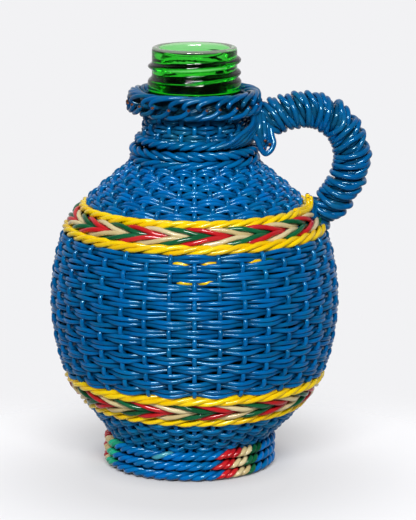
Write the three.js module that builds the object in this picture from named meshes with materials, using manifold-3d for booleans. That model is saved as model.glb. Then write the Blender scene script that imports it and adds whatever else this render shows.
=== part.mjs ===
// A screw-neck glass bottle in a cover woven from plastic-coated wire, with a wrapped loop handle.
// Millimetres, +Z up. The origin is the centre of the woven base's underside and the handle is on +X.
import * as THREE from "three";
import { mergeVertices } from "three/addons/utils/BufferGeometryUtils.js";
import Module from "manifold-3d";

const wasm = await Module();
wasm.setup();

// Driving dimensions of the wire and the weave
const WIRE = 1.9; // outside diameter of the coated wire
const STAKES = 36; // upright wires round the body, an even count so that each course closes on itself
const GAP = 0.3; // clearance kept between neighbouring pieces
const WEAVE_DEPTH = 2.7; // how far the woven layer reaches in from the cover's outer surface
const STAKE_DEPTH = WEAVE_DEPTH + GAP; // outer face of the stakes, below the cover's outer surface
const ROPE_CROWN = 0.4; // how far a twisted row stands proud of the plain weave
const LEAN = { shift: 2.0, from: 8, to: 24 }; // how far the belly stands off the foot's centre, towards +X

// Heights up the axis, in the order of the rows
const FOOT = { rows: ["bottom", "middle", "top"], pitch: 4.1, radius: 35.5 };
const FOOT_TOP = FOOT.rows.length * FOOT.pitch;
const LOWER_WEAVE_BOTTOM = FOOT_TOP + 1.0;
const LOWER_BAND = [25.4, 38.9];
const UPPER_BAND = [97.9, 109.7];
const SHOULDER_TOP = 125.4;
const NECK_ROPE_HEIGHT = 3.6;
const NECK_ROPES = [
  { name: "neck_rope_bottom", radius: 26.7, height: 127.2 },
  { name: "neck_rope_middle", radius: 26.6, height: 130.8 },
  { name: "neck_rope_top", radius: 24.6, height: 134.8 },
];
const NECK_WEAVE = { bottom: 136.8, waist: 141.0, top: 145.3, bottomRadius: 22.6, topRadius: 21.3 };
const RIM = { bottom: 145.6, top: 155.2, radius: 27.2, inner: 19.4, chamfer: 1.5 };
const BASE_DISC = { radius: 30.6, thickness: 2.0 };

// Outer faces of the stakes, from where they run together under the bottle up to the rim
const STAKE = {
  hubRadius: 14,
  hubOverlap: 1.0, // how far each stake reaches into the hub
  bendRadius: 29.3, // where they turn up at the edge of the base
  footRadius: 29.9, // behind the foot's top row
  coverStart: FOOT_TOP + 4.0, // height from which they follow the cover
  neckBend: [22.4, 127.2], // radius and height where they turn up into the neck
  neckFoot: [21.0, 133.0], // radius and height above the neck's middle row
  uprightFrom: NECK_WEAVE.bottom - 0.4,
  top: RIM.bottom - 1.0,
};

// Glass bottle with a 38 mm screw finish
const GLASS = {
  wall: 3.2,
  neckRadius: 16.1,
  beadRadius: 18.9,
  beadTop: 158.7,
  beadHeight: 4.0, // straight side of the bead
  beadSlope: 4.0, // height of the slope under the bead
  beadStep: 1.2, // height of the slope above it
  finishRadius: 16.9, // root of the thread
  boreRadius: 13.3,
  lip: 172.0,
  lipRound: 0.9,
};
const THREAD = {
  pitch: 5.08,
  crest: 18.7,
  bottom: 159.0,
  turns: 1.8,
  halfRoot: 1.5,
  halfCrest: 0.55,
  sunk: 0.6, // how far the ridge's root lies inside the glass
  runOut: 1 / 7, // share of its length over which each end fades
  stepsPerTurn: 26,
};

// Loop handle, an arc in the XZ plane whose ends are shaped to the neck and the shoulder.
// Its angles are in degrees.
const HANDLE = {
  x: 45.9,
  z: 128.6,
  radius: 18.4,
  core: 5.1,
  from: 164,
  to: -84,
  opensBelow: -15, // from here down the arc's radius grows with the square of the angle
  opening: 6.0, // growth in mm per square radian
  seatBottom: 90, // height from which its ends are cut to the cover
  sides: 10,
  steps: 20,
};
const WRAP = { loops: 16, from: 139, to: -60, tilt: [8, 32], lift: 0.15, sides: 5, steps: 14 };
// Loose end of the wrapping wire: a hook that hangs beside the upper root, as [x, y, z] points
const TAIL = [
  [33.2, -6.9, 137.6],
  [33.6, -7.0, 133.0],
  [31.6, -6.6, 130.0],
  [29.5, -6.2, 131.6],
  [29.0, -6.0, 134.0],
];
const TAIL_STEPS = 10;

const wireBlue = new THREE.MeshStandardMaterial({ color: 0x0a62b4, roughness: 0.32, metalness: 0 });
const wireYellow = new THREE.MeshStandardMaterial({ color: 0xf2c80c, roughness: 0.32, metalness: 0 });
const wireMixed = new THREE.MeshStandardMaterial({ color: 0xb5322f, roughness: 0.32, metalness: 0 });
const greenGlass = new THREE.MeshStandardMaterial({
  color: 0x0f8a1e,
  roughness: 0.06,
  metalness: 0,
  transparent: true,
  opacity: 0.6,
});

const BODY_FACETS = STAKES;
const NECK_FACETS = 26;
const ROPE_SIDES = 6;
const CHEVRON_SIDES = 4;
const WALL_ROWS = 9; // points on the stakes and the glass where they follow the cover
const SEAT_ROWS = 10; // points on the cover where the handle's ends are cut to it
const CUT_OVERLAP = 0.1; // how far the faces of a cutting solid pass each other
const COVER_SAMPLES = 400;
const radians = THREE.MathUtils.degToRad;
const { lerp } = THREE.MathUtils;
const point = (r, z) => new THREE.Vector2(r, z);
const closed = (profile) => [...profile, profile[0].clone()];

const bottle = new THREE.Group();

// Moves a geometry sideways by the lean at each height, from none at the foot to all of it at the belly
function leaned(geometry) {
  const position = geometry.attributes.position;
  for (let i = 0; i < position.count; i++) {
    const share = THREE.MathUtils.smoothstep(position.getZ(i), LEAN.from, LEAN.to);
    position.setX(i, position.getX(i) + LEAN.shift * share);
  }
  return geometry;
}

function add(name, geometry, material) {
  const mesh = new THREE.Mesh(leaned(geometry), material);
  mesh.name = name;
  bottle.add(mesh);
}

// The cover's outer surface from the foot to the neck, as [radius, height] points on a smooth curve
const coverCurve = new THREE.CatmullRomCurve3(
  [
    [34.3, FOOT_TOP + 0.9],
    [45.3, 26.0],
    [54.3, 39.6],
    [59.4, 68.0],
    [54.2, UPPER_BAND[0]],
    [45.2, UPPER_BAND[1]],
    [27.2, SHOULDER_TOP],
  ].map(([r, z]) => new THREE.Vector3(r, 0, z)),
  false,
  "centripetal",
);
const coverLength = coverCurve.getLength();
const coverSamples = coverCurve.getSpacedPoints(COVER_SAMPLES);
const shareAt = (height) => coverSamples.findIndex((p) => p.z >= height - 1e-6) / COVER_SAMPLES;

// A point on the cover at a share of its length, moved inwards by depth
function coverPoint(share, depth = 0) {
  const p = coverCurve.getPointAt(share);
  const t = coverCurve.getTangentAt(share);
  return point(p.x - t.z * depth, p.z + t.x * depth);
}

function coverRun(from, to, count, depth) {
  return Array.from({ length: count }, (_, i) => coverPoint(lerp(from, to, i / (count - 1)), depth));
}

// Turns a [radius, height] profile about Z
function turned(profile, facets) {
  return new THREE.LatheGeometry(profile, facets).rotateX(Math.PI / 2);
}

// A line of [radius, height] points moved to the inside of the bottle by one depth all along
function inset(line, depth) {
  const normals = line.slice(1).map((p, i) => {
    const run = p.clone().sub(line[i]).normalize();
    return point(-run.y, run.x);
  });
  return line.map((p, i) => {
    const before = normals[Math.max(i - 1, 0)];
    const after = normals[Math.min(i, normals.length - 1)];
    const mean = before.clone().add(after).normalize();
    return p.clone().addScaledVector(mean, depth / mean.dot(after));
  });
}

function solidOf(geometry) {
  geometry.deleteAttribute("normal");
  geometry.deleteAttribute("uv");
  const merged = mergeVertices(geometry, 1e-4);
  const index = merged.index.array;
  const kept = [];
  for (let i = 0; i < index.length; i += 3) {
    const [a, b, c] = index.slice(i, i + 3);
    if (a !== b && b !== c && c !== a) kept.push(a, b, c);
  }
  return new wasm.Manifold(
    new wasm.Mesh({
      numProp: 3,
      vertProperties: merged.attributes.position.array,
      triVerts: new Uint32Array(kept),
    }),
  );
}

function geometryOf(solid) {
  const mesh = solid.getMesh();
  const geometry = new THREE.BufferGeometry();
  geometry.setAttribute("position", new THREE.BufferAttribute(mesh.vertProperties, 3));
  geometry.setIndex(new THREE.BufferAttribute(mesh.triVerts, 1));
  return geometry;
}

// Section of a twisted row, flat side out: across points outwards, along runs up the cover
function rowSection(sides, centre, along, across, halfHeight, halfDepth) {
  const flat = Math.cos(Math.PI / sides);
  const top = sides === CHEVRON_SIDES ? flat : 1;
  return Array.from({ length: sides }, (_, i) => {
    const angle = ((i + 0.5) / sides) * 2 * Math.PI;
    const out = (halfDepth * Math.cos(angle)) / flat;
    const up = (halfHeight * Math.sin(angle)) / top;
    return centre.clone().addScaledVector(across, out).addScaledVector(along, up);
  });
}

// Level ring of oval section, with its outermost radius
function levelRing(radius, height, halfHeight, halfDepth) {
  const centre = point(radius - halfDepth, height);
  const section = rowSection(ROPE_SIDES, centre, point(0, 1), point(1, 0), halfHeight, halfDepth);
  return turned(closed(section), NECK_FACETS);
}

// Woven layer between two heights on the cover
function weaveShell(name, bottom, top, rings) {
  const slack = GAP / 2 / coverLength;
  const [from, to] = [shareAt(bottom) + slack, shareAt(top) - slack];
  const outside = coverRun(from, to, rings, 0);
  const inside = coverRun(from, to, rings, WEAVE_DEPTH).reverse();
  add(name, turned(closed([...outside, ...inside]), BODY_FACETS), wireBlue);
}

// One twisted row lying in the cover, between two shares of its length
function coverRow(name, from, to, sides, material) {
  const middle = (from + to) / 2;
  const tangent = coverCurve.getTangentAt(middle);
  const along = point(tangent.x, tangent.z);
  const across = point(tangent.z, -tangent.x);
  const halfDepth = (WEAVE_DEPTH + ROPE_CROWN) / 2;
  const halfHeight = ((to - from) * coverLength - GAP) / 2;
  const centre = coverPoint(middle, WEAVE_DEPTH - halfDepth);
  const section = rowSection(sides, centre, along, across, halfHeight, halfDepth);
  add(name, turned(closed(section), BODY_FACETS), material);
}

// Coloured band: a yellow rope, two rows of three-coloured strokes that meet in chevrons, a yellow rope
function colouredBand(prefix, [bottom, top]) {
  const rows = [
    ["bottom_rope", ROPE_SIDES, wireYellow],
    ["bottom_chevron_row", CHEVRON_SIDES, wireMixed],
    ["top_chevron_row", CHEVRON_SIDES, wireMixed],
    ["top_rope", ROPE_SIDES, wireYellow],
  ];
  const [from, to] = [shareAt(bottom), shareAt(top)];
  const step = (to - from) / rows.length;
  rows.forEach(([name, sides, material], i) => {
    coverRow(`${prefix}_${name}`, from + step * i, from + step * (i + 1), sides, material);
  });
}

// The outer faces of the stakes, from the hub across the base and up to the rim
function stakeLine() {
  const floor = BASE_DISC.thickness + GAP;
  const neckRadius = NECK_WEAVE.topRadius - STAKE_DEPTH;
  return [
    point(STAKE.hubRadius - STAKE.hubOverlap, floor),
    point(STAKE.bendRadius, floor),
    point(STAKE.footRadius, FOOT_TOP),
    ...coverRun(shareAt(STAKE.coverStart), 1, WALL_ROWS, STAKE_DEPTH),
    point(...STAKE.neckBend),
    point(...STAKE.neckFoot),
    point(neckRadius, STAKE.uprightFrom),
    point(neckRadius, STAKE.top),
  ];
}

// Upright wires, each flat in a radial plane, joined in a hub under the bottle
function stakeCage() {
  const facet = Math.cos(Math.PI / STAKES);
  const line = stakeLine();
  const outline = [...line, ...inset(line, WIRE).reverse()];
  const shape = new THREE.Shape(outline.map((p) => point(p.x * facet, p.y)));
  const upright = new THREE.ExtrudeGeometry(shape, { depth: WIRE, bevelEnabled: false });
  upright.translate(0, 0, -WIRE / 2);
  upright.rotateX(Math.PI / 2);
  const hub = new THREE.CylinderGeometry(STAKE.hubRadius, STAKE.hubRadius, WIRE, STAKES);
  hub.rotateX(Math.PI / 2);
  hub.translate(0, 0, BASE_DISC.thickness + GAP + WIRE / 2);
  let cage = solidOf(hub);
  for (let i = 0; i < STAKES; i++) {
    const turn = ((i + 0.5) / STAKES) * 2 * Math.PI;
    cage = cage.add(solidOf(upright.clone().rotateZ(turn)));
  }
  return geometryOf(cage);
}

// Glass bottle: outer wall up to the lip, then the inner wall down to the floor
function glassWall() {
  const g = GLASS;
  const outer = inset(stakeLine(), WIRE + GAP).slice(1);
  const inner = inset(stakeLine(), WIRE + GAP + g.wall).slice(1, -2).reverse();
  const profile = [
    point(0, outer[0].y),
    ...outer,
    point(g.neckRadius, g.beadTop - g.beadHeight - g.beadSlope),
    point(g.beadRadius, g.beadTop - g.beadHeight),
    point(g.beadRadius, g.beadTop),
    point(g.finishRadius, g.beadTop + g.beadStep),
    point(g.finishRadius, g.lip - g.lipRound),
    point(g.finishRadius - g.lipRound, g.lip),
    point(g.boreRadius + g.lipRound, g.lip),
    point(g.boreRadius, g.lip - g.lipRound),
    point(g.boreRadius, NECK_WEAVE.bottom),
    ...inner,
    point(0, outer[0].y + g.wall),
  ];
  return solidOf(turned(profile, NECK_FACETS));
}

// Screw thread: a four-sided ridge carried up a right-hand helix and drawn in to nothing at both ends
function screwThread() {
  const t = THREAD;
  const steps = Math.round(t.turns * t.stepsPerTurn);
  const root = GLASS.finishRadius - t.sunk;
  const positions = [];
  for (let i = 0; i <= steps; i++) {
    const share = i / steps;
    const fade = Math.min(1, share / t.runOut, (1 - share) / t.runOut);
    const angle = Math.PI + share * t.turns * 2 * Math.PI;
    const crest = lerp(GLASS.finishRadius, t.crest, fade);
    const section = [
      [root, -t.halfRoot],
      [crest, -t.halfCrest],
      [crest, t.halfCrest],
      [root, t.halfRoot],
    ];
    for (const [r, dz] of section) {
      positions.push(r * Math.cos(angle), r * Math.sin(angle), t.bottom + share * t.turns * t.pitch + dz);
    }
  }
  const sides = 4;
  const last = steps * sides;
  const index = [0, 1, 2, 0, 2, 3, last, last + 2, last + 1, last, last + 3, last + 2];
  for (let i = 0; i < steps; i++) {
    for (let k = 0; k < sides; k++) {
      const [a, b] = [i * sides + k, i * sides + ((k + 1) % sides)];
      index.push(a, a + sides, b, b, a + sides, b + sides);
    }
  }
  const geometry = new THREE.BufferGeometry();
  geometry.setAttribute("position", new THREE.BufferAttribute(new Float32Array(positions), 3));
  geometry.setIndex(index);
  return solidOf(geometry);
}

// Tube along a curve with closed ends
function tube(curve, radius, sides, steps) {
  const section = new THREE.Shape(
    Array.from({ length: sides }, (_, i) => {
      const angle = (i / sides) * 2 * Math.PI;
      return point(radius * Math.cos(angle), radius * Math.sin(angle));
    }),
  );
  return new THREE.ExtrudeGeometry(section, { steps, extrudePath: curve, bevelEnabled: false });
}

// A place beside the handle's centre line: turn goes along the arc, round goes about the tube
function handlePoint(turn, round, distance) {
  const open = Math.max(0, radians(HANDLE.opensBelow) - turn);
  const reach = HANDLE.radius + HANDLE.opening * open ** 2;
  const normal = turn + Math.atan2(2 * HANDLE.opening * open, reach);
  const outward = distance * Math.cos(round);
  return new THREE.Vector3(
    HANDLE.x + reach * Math.cos(turn) + outward * Math.cos(normal),
    -distance * Math.sin(round),
    HANDLE.z + reach * Math.sin(turn) + outward * Math.sin(normal),
  );
}

class HandleArc extends THREE.Curve {
  getPoint(share) {
    return handlePoint(radians(lerp(HANDLE.from, HANDLE.to, share)), 0, 0);
  }
}

// The wrapping wire: loops round the core that slant more and more towards the lower end
class HandleWrap extends THREE.Curve {
  arcLengthDivisions = 2400;

  getPoint(share) {
    const round = share * WRAP.loops * 2 * Math.PI;
    const distance = HANDLE.core + GAP + WIRE / 2 + WRAP.lift;
    const slant = Math.tan(radians(lerp(...WRAP.tilt, share)));
    const swing = ((slant * distance) / HANDLE.radius) * Math.cos(round);
    return handlePoint(radians(lerp(WRAP.from, WRAP.to, share)) + swing, round, distance);
  }
}

// Least clear distance between turns of the wrapping wire, measured on points along it
function leastGap(curve) {
  const perLoop = 48;
  const points = curve.getPoints(WRAP.loops * perLoop);
  let least = Infinity;
  points.forEach((p, i) => {
    for (const q of points.slice(i + perLoop / 2)) {
      least = Math.min(least, p.distanceTo(q));
    }
  });
  return least - WIRE;
}

// Everything that the handle's ends lie against, grown by the clearance
function handleSeat() {
  const grown = GAP + ROPE_CROWN;
  const profile = [
    point(0, HANDLE.seatBottom),
    ...coverRun(shareAt(HANDLE.seatBottom), 1, SEAT_ROWS, -grown),
    ...NECK_ROPES.flatMap((rope) => [
      point(rope.radius + GAP, rope.height - NECK_ROPE_HEIGHT / 2 - CUT_OVERLAP),
      point(rope.radius + GAP, rope.height + NECK_ROPE_HEIGHT / 2 + CUT_OVERLAP),
    ]),
    point(NECK_WEAVE.bottomRadius + GAP, NECK_WEAVE.bottom),
    point(NECK_WEAVE.topRadius + GAP, NECK_WEAVE.waist),
    point(NECK_WEAVE.topRadius + GAP, NECK_WEAVE.top),
    point(RIM.radius + GAP, RIM.bottom + RIM.chamfer),
    point(RIM.radius + GAP, RIM.top),
    point(0, RIM.top),
  ];
  return solidOf(turned(profile, BODY_FACETS));
}

function addHandle() {
  const bar = solidOf(tube(new HandleArc(), HANDLE.core, HANDLE.sides, HANDLE.steps));
  add("handle_core", geometryOf(bar.subtract(handleSeat())), wireBlue);
  const wrap = new HandleWrap();
  console.log(`handle wrap: ${WRAP.loops} loops, least gap to itself ${leastGap(wrap).toFixed(2)} mm`);
  add("handle_wrap", tube(wrap, WIRE / 2, WRAP.sides, WRAP.loops * WRAP.steps), wireBlue);
  const hook = new THREE.CatmullRomCurve3(TAIL.map((p) => new THREE.Vector3(...p)));
  add("handle_tail", tube(hook, WIRE / 2, ROPE_SIDES, TAIL_STEPS), wireBlue);
}

add("glass_bottle", geometryOf(glassWall().add(screwThread())), greenGlass);
const { radius: baseRadius, thickness: baseThickness } = BASE_DISC;
const disc = new THREE.CylinderGeometry(baseRadius, baseRadius, baseThickness, BODY_FACETS);
add("base_weave", disc.rotateX(Math.PI / 2).translate(0, 0, baseThickness / 2), wireBlue);
add("stake_cage", stakeCage(), wireBlue);
FOOT.rows.forEach((place, row) => {
  const halfDepth = (FOOT.radius - BASE_DISC.radius - 2 * GAP) / 2;
  const ring = levelRing(FOOT.radius, FOOT.pitch * (row + 0.5), (FOOT.pitch - GAP) / 2, halfDepth);
  add(`foot_rope_${place}`, ring, wireBlue);
});
weaveShell("lower_weave", LOWER_WEAVE_BOTTOM, LOWER_BAND[0], 3);
colouredBand("lower_band", LOWER_BAND);
weaveShell("body_weave", LOWER_BAND[1], UPPER_BAND[0], 6);
colouredBand("upper_band", UPPER_BAND);
weaveShell("shoulder_weave", UPPER_BAND[1], SHOULDER_TOP, 3);
for (const rope of NECK_ROPES) {
  const ring = levelRing(rope.radius, rope.height, (NECK_ROPE_HEIGHT - GAP) / 2, WEAVE_DEPTH / 2);
  add(rope.name, ring, wireBlue);
}
const neckWall = [
  point(NECK_WEAVE.bottomRadius, NECK_WEAVE.bottom),
  point(NECK_WEAVE.topRadius, NECK_WEAVE.waist),
  point(NECK_WEAVE.topRadius, NECK_WEAVE.top),
  point(NECK_WEAVE.topRadius - WEAVE_DEPTH, NECK_WEAVE.top),
  point(NECK_WEAVE.topRadius - WEAVE_DEPTH, NECK_WEAVE.bottom),
];
add("neck_weave", turned(closed(neckWall), NECK_FACETS), wireBlue);
const rimHeight = (RIM.bottom + RIM.top) / 2;
const rimHalfHeight = (RIM.top - RIM.bottom) / 2;
const rimHalfDepth = (RIM.radius - RIM.inner) / 2;
const rimRing = levelRing(RIM.radius, rimHeight, rimHalfHeight, rimHalfDepth);
add("rim_border", rimRing, wireBlue);
addHandle();

export default bottle;
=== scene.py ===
"""The looks of a glass bottle in a woven cover of plastic-coated wire, with a wrapped loop handle.

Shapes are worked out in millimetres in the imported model's own frame, and go into their meshes in metres.
The front of the bottle faces -Y, the handle is on +X, and turns run from +X towards +Y.
"""

import logging
from dataclasses import dataclass
from enum import Enum, IntEnum
from math import radians, tau

import bpy
import numpy as np
from mathutils import Euler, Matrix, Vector


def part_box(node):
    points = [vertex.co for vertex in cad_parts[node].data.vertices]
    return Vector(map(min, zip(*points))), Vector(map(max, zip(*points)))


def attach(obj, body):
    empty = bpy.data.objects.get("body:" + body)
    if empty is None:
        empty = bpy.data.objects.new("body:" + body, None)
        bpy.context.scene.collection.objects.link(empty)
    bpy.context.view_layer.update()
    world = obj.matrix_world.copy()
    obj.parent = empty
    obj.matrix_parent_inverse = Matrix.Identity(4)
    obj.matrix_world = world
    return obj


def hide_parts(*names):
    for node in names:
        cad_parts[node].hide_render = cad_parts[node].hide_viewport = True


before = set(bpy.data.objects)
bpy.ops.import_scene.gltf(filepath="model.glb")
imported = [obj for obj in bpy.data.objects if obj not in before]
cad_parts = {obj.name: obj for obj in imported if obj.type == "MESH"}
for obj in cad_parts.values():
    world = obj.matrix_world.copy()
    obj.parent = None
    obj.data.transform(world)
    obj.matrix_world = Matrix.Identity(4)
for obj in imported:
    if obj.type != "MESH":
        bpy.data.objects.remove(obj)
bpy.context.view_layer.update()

LOG = logging.getLogger("bottle")
MM = 0.001
# Turn about the bottle's axis that faces the camera
FRONT = -tau / 4
SEED = 36
# Thickness of the coated wire, and of the wire in the twisted rows
WIRE = 1.9
BAND_WIRE = 2.0
# Points round a wire: in the woven layers, in the rows, the rim and the bundle, and in the windings and ends
WEAVE_SIDES = 8
ROW_SIDES = 10
HANDLE_SIDES = 12


class Slot(Enum):
    """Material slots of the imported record."""

    GLASS = "green_glass"
    BLUE = "blue_wire"
    YELLOW = "yellow_wire"
    TRICOLOUR = "tricolour_wire"


class Lay(IntEnum):
    """Which way the strokes of a twisted row lean, seen from outside."""

    RISING = 1
    FALLING = -1


class Crossing(IntEnum):
    """The handle's two crossing wires, named for how they meet on its outer side."""

    OVER = 1
    UNDER = -1


class Shade(IntEnum):
    """Places of the finishes in a wire piece's material list."""

    BLUE = 0
    WORN = 1
    YELLOW = 2
    RED = 3
    CREAM = 4
    GREEN = 5
    TEAL = 6
    COPPER = 7
    AGED = 8
    PALE = 9
    FRESH = 10


# Finishes


def linear(colour: str) -> tuple[float, float, float, float]:
    """Turns an sRGB hex colour into linear light.

    Args:
        colour: Six hex digits after a hash.

    Returns:
        Linear red, green, blue and an alpha of one.
    """
    channels = np.array([int(colour[i : i + 2], 16) for i in (1, 3, 5)]) / 255
    light = np.where(channels <= 0.04045, channels / 12.92, ((channels + 0.055) / 1.055) ** 2.4)
    return (*light.tolist(), 1.0)


def add_node(
    tree: bpy.types.NodeTree, kind: str, inputs: dict | None = None, output: int | str = 0, **settings: object
) -> bpy.types.NodeSocket | None:
    """Adds one shader node with its settings, its constant inputs and its links.

    Args:
        tree: Node tree that gets the node.
        kind: Blender's type name of the node, without the ShaderNode that it starts with.
        inputs: Socket name or number to a constant, or to an output socket that is linked to it.
        output: Name or number of the output socket that is wanted.
        settings: Properties of the node itself.

    Returns:
        That output socket, or None from a node without outputs.
    """
    node = tree.nodes.new(f"ShaderNode{kind}")
    for name, value in settings.items():
        setattr(node, name, value)
    for name, value in (inputs or {}).items():
        if isinstance(value, bpy.types.NodeSocket):
            tree.links.new(value, node.inputs[name])
        else:
            node.inputs[name].default_value = value
    return node.outputs[output] if node.outputs else None


def new_material(name: str) -> tuple[bpy.types.Material, bpy.types.NodeTree]:
    """Makes an empty node material.

    Args:
        name: Name of the material.

    Returns:
        The material and its node tree.
    """
    material = bpy.data.materials.new(name)
    material.use_nodes = True
    material.node_tree.nodes.clear()
    return material, material.node_tree


@dataclass(frozen=True)
class CoatedWire:
    """PVC insulation extruded over copper wire.

    The die leaves fine lines along the wire, the surface is smooth enough for small sharp highlights, the
    pigment varies a little from wire to wire, and the hollows of the weave are darkened, partly by dust and
    partly by painted shade.
    The die lines are drawn coarser than real ones, so that they show.
    """

    name: str
    colour: str
    deep: str
    dust_and_shade: str
    worn: str
    wear: float = 0.45
    roughness: float = 0.09
    gloss_tint: str = "#FFFFFF"
    cloud_mm: float = 5.0
    wear_mm: float = 9.0
    scuff_mm: float = 1.4
    die_line_mm: float = 0.22
    die_stretch: float = 40.0
    # Depths over which dust and painted shade darken the hollows, and how strongly
    hollow_from: float = 1.0
    hollow_to: float = 3.8
    dust_and_shade_strength: float = 1.8
    ior: float = 1.53

    def material(self) -> bpy.types.Material:
        """Builds the node material.

        Returns:
            The material.
        """
        material, tree = new_material(self.name)
        place = add_node(tree, "TexCoord", output="Object")
        sunk, strand = (
            add_node(tree, "Attribute", output="Fac", attribute_name=name) for name in ("sunk", "strand")
        )
        cloud, patch, scuff = (
            add_node(
                tree,
                "TexNoise",
                {"Vector": place, "Scale": 1 / (size * MM), "Detail": detail, "Roughness": grit},
            )
            for size, detail, grit in (
                (self.cloud_mm, 3.0, 0.6),
                (self.wear_mm, 4.0, 0.7),
                (self.scuff_mm, 4.0, 0.65),
            )
        )
        drift = add_node(tree, "Math", {0: strand, 1: cloud}, operation="ADD")
        half = add_node(tree, "Math", {0: drift, 1: 0.5}, operation="MULTIPLY")
        tone, bleach, hollow_shade, gloss = (
            add_node(
                tree,
                "MapRange",
                {"Value": value, "From Min": low, "From Max": high, "To Min": least, "To Max": most},
            )
            for value, low, high, least, most in (
                # Wire to wire the pigment drifts, and along one wire it clouds slightly
                (half, 0.28, 0.62, 0.0, 1.0),
                # Handling and light have bleached patches of the pigment
                (patch, 0.42, 0.68, 0.0, self.wear),
                # Dust and painted shade darken the hollows, where the wire is far below the cover's outer
                # face
                (sunk, self.hollow_from, self.hollow_to, 0.0, self.dust_and_shade_strength),
                # Handling has dulled the gloss in small scuffs
                (scuff, 0.3, 0.75, self.roughness - 0.05, self.roughness + 0.1),
            )
        )
        dusty_shade = add_node(tree, "Math", {0: hollow_shade, 1: cloud}, operation="MULTIPLY")
        pigment = linear(self.deep)
        for share, colour in ((tone, self.colour), (bleach, self.worn), (dusty_shade, self.dust_and_shade)):
            mixed = {"Factor": share, 6: pigment, 7: linear(colour)}
            pigment = add_node(tree, "Mix", mixed, 2, data_type="RGBA")
        # Die lines: noise drawn out along the wire
        along = add_node(tree, "TexCoord", output="UV")
        fine = 1 / self.die_line_mm
        drawn = add_node(tree, "Mapping", {"Vector": along, "Scale": (fine / self.die_stretch, fine, 1.0)})
        lines = add_node(tree, "TexNoise", {"Vector": drawn, "Scale": 1.0, "Detail": 2.0})
        relief = add_node(tree, "Math", {0: lines, 1: scuff}, operation="ADD")
        bump = add_node(tree, "Bump", {"Height": relief, "Strength": 0.08, "Distance": 0.05 * MM})
        shader = add_node(
            tree,
            "BsdfPrincipled",
            {
                "Base Color": pigment,
                "Roughness": gloss,
                "Normal": bump,
                "IOR": self.ior,
                "Specular Tint": linear(self.gloss_tint),
            },
        )
        add_node(tree, "OutputMaterial", {"Surface": shader})
        return material


@dataclass(frozen=True)
class CutCopper:
    """Copper wire cut with pliers and left in the air.

    It is dull brown, with bright specks where it was sheared.
    """

    name: str = "copper_cut_and_tarnished"
    bright: str = "#925538"
    tarnish: str = "#3A2016"
    grain_mm: float = 0.5

    def material(self) -> bpy.types.Material:
        """Builds the node material.

        Returns:
            The material.
        """
        material, tree = new_material(self.name)
        place = add_node(tree, "TexCoord", output="Object")
        grain = add_node(
            tree, "TexNoise", {"Vector": place, "Scale": 1 / (self.grain_mm * MM), "Detail": 4.0}
        )
        sheared = add_node(tree, "MapRange", {"Value": grain, "From Min": 0.38, "From Max": 0.66})
        mixed = {"Factor": sheared, 6: linear(self.tarnish), 7: linear(self.bright)}
        colour = add_node(tree, "Mix", mixed, 2, data_type="RGBA")
        gloss = add_node(tree, "MapRange", {"Value": grain, "To Min": 0.65, "To Max": 0.35})
        bump = add_node(tree, "Bump", {"Height": grain, "Strength": 0.4, "Distance": 0.1 * MM})
        shader = add_node(
            tree,
            "BsdfPrincipled",
            {"Base Color": colour, "Metallic": 0.7, "Roughness": gloss, "Normal": bump},
        )
        add_node(tree, "OutputMaterial", {"Surface": shader})
        return material


@dataclass(frozen=True)
class BottleGlass:
    """Green soda-lime glass blown in a mould and fire polished.

    It is clear right through, so its colour deepens with thickness, and the mould leaves a soft ripple.
    """

    name: str = "soda_lime_glass_green"
    tint: str = "#F6FFF4"
    body: str = "#3FEE3F"
    density: float = 380.0
    ior: float = 1.52
    # Pale matt colour mixed into the lip's top: a painted highlight
    lip: str = "#DCE6D6"
    lip_mm: float = 171.3
    lip_fade_mm: float = 0.5
    lip_sheen: float = 0.3
    # Dark matt colour drawn on the glass below the neck, painted shade, and the height below which it is
    # drawn
    dust_and_shade: str = "#0A1F0E"
    shaded_below_mm: float = 154.6
    ripple_mm: float = 7.0
    seed_mm: float = 1.1
    seed_share: float = 0.12

    def material(self) -> bpy.types.Material:
        """Builds the node material, with absorption in its volume.

        Returns:
            The material.
        """
        material, tree = new_material(self.name)
        place = add_node(tree, "TexCoord", output="Object")
        ripple, seeds = (
            add_node(tree, "TexNoise", {"Vector": place, "Scale": 1 / (size * MM), "Detail": detail})
            for size, detail in ((self.ripple_mm, 1.0), (self.seed_mm, 2.0))
        )
        relief = add_node(tree, "Math", {0: seeds, 1: self.seed_share, 2: ripple}, operation="MULTIPLY_ADD")
        bump = add_node(tree, "Bump", {"Height": relief, "Strength": 0.35, "Distance": 0.35 * MM})
        gloss = add_node(tree, "MapRange", {"Value": seeds, "To Min": 0.0, "To Max": 0.05})
        glass = add_node(
            tree,
            "BsdfPrincipled",
            {
                "Base Color": linear(self.tint),
                "Roughness": gloss,
                "IOR": self.ior,
                "Transmission Weight": 1.0,
                "Normal": bump,
            },
        )
        # The lip's top is mixed with a pale matt colour: a painted highlight for the light that its rounded
        # top catches
        height = add_node(tree, "SeparateXYZ", {0: place}, "Z")
        worn = add_node(
            tree,
            "MapRange",
            {
                "Value": height,
                "From Min": (self.lip_mm - self.lip_fade_mm) * MM,
                "From Max": self.lip_mm * MM,
                "To Max": self.lip_sheen,
            },
        )
        pale_sheen = add_node(tree, "BsdfDiffuse", {"Color": linear(self.lip), "Roughness": 0.6})
        upper = add_node(tree, "MixShader", {0: worn, 1: glass, 2: pale_sheen})
        # Below the neck, where the cover lets no light through, the glass is drawn dark and matt: painted
        # shade
        unshaded = add_node(tree, "Math", {0: height, 1: self.shaded_below_mm * MM}, operation="GREATER_THAN")
        dusty_shade = add_node(tree, "BsdfDiffuse", {"Color": linear(self.dust_and_shade), "Roughness": 0.9})
        surface = add_node(tree, "MixShader", {0: unshaded, 1: dusty_shade, 2: upper})
        inside = add_node(tree, "VolumeAbsorption", {"Color": linear(self.body), "Density": self.density})
        add_node(tree, "OutputMaterial", {"Surface": surface, "Volume": inside})
        return material


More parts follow.
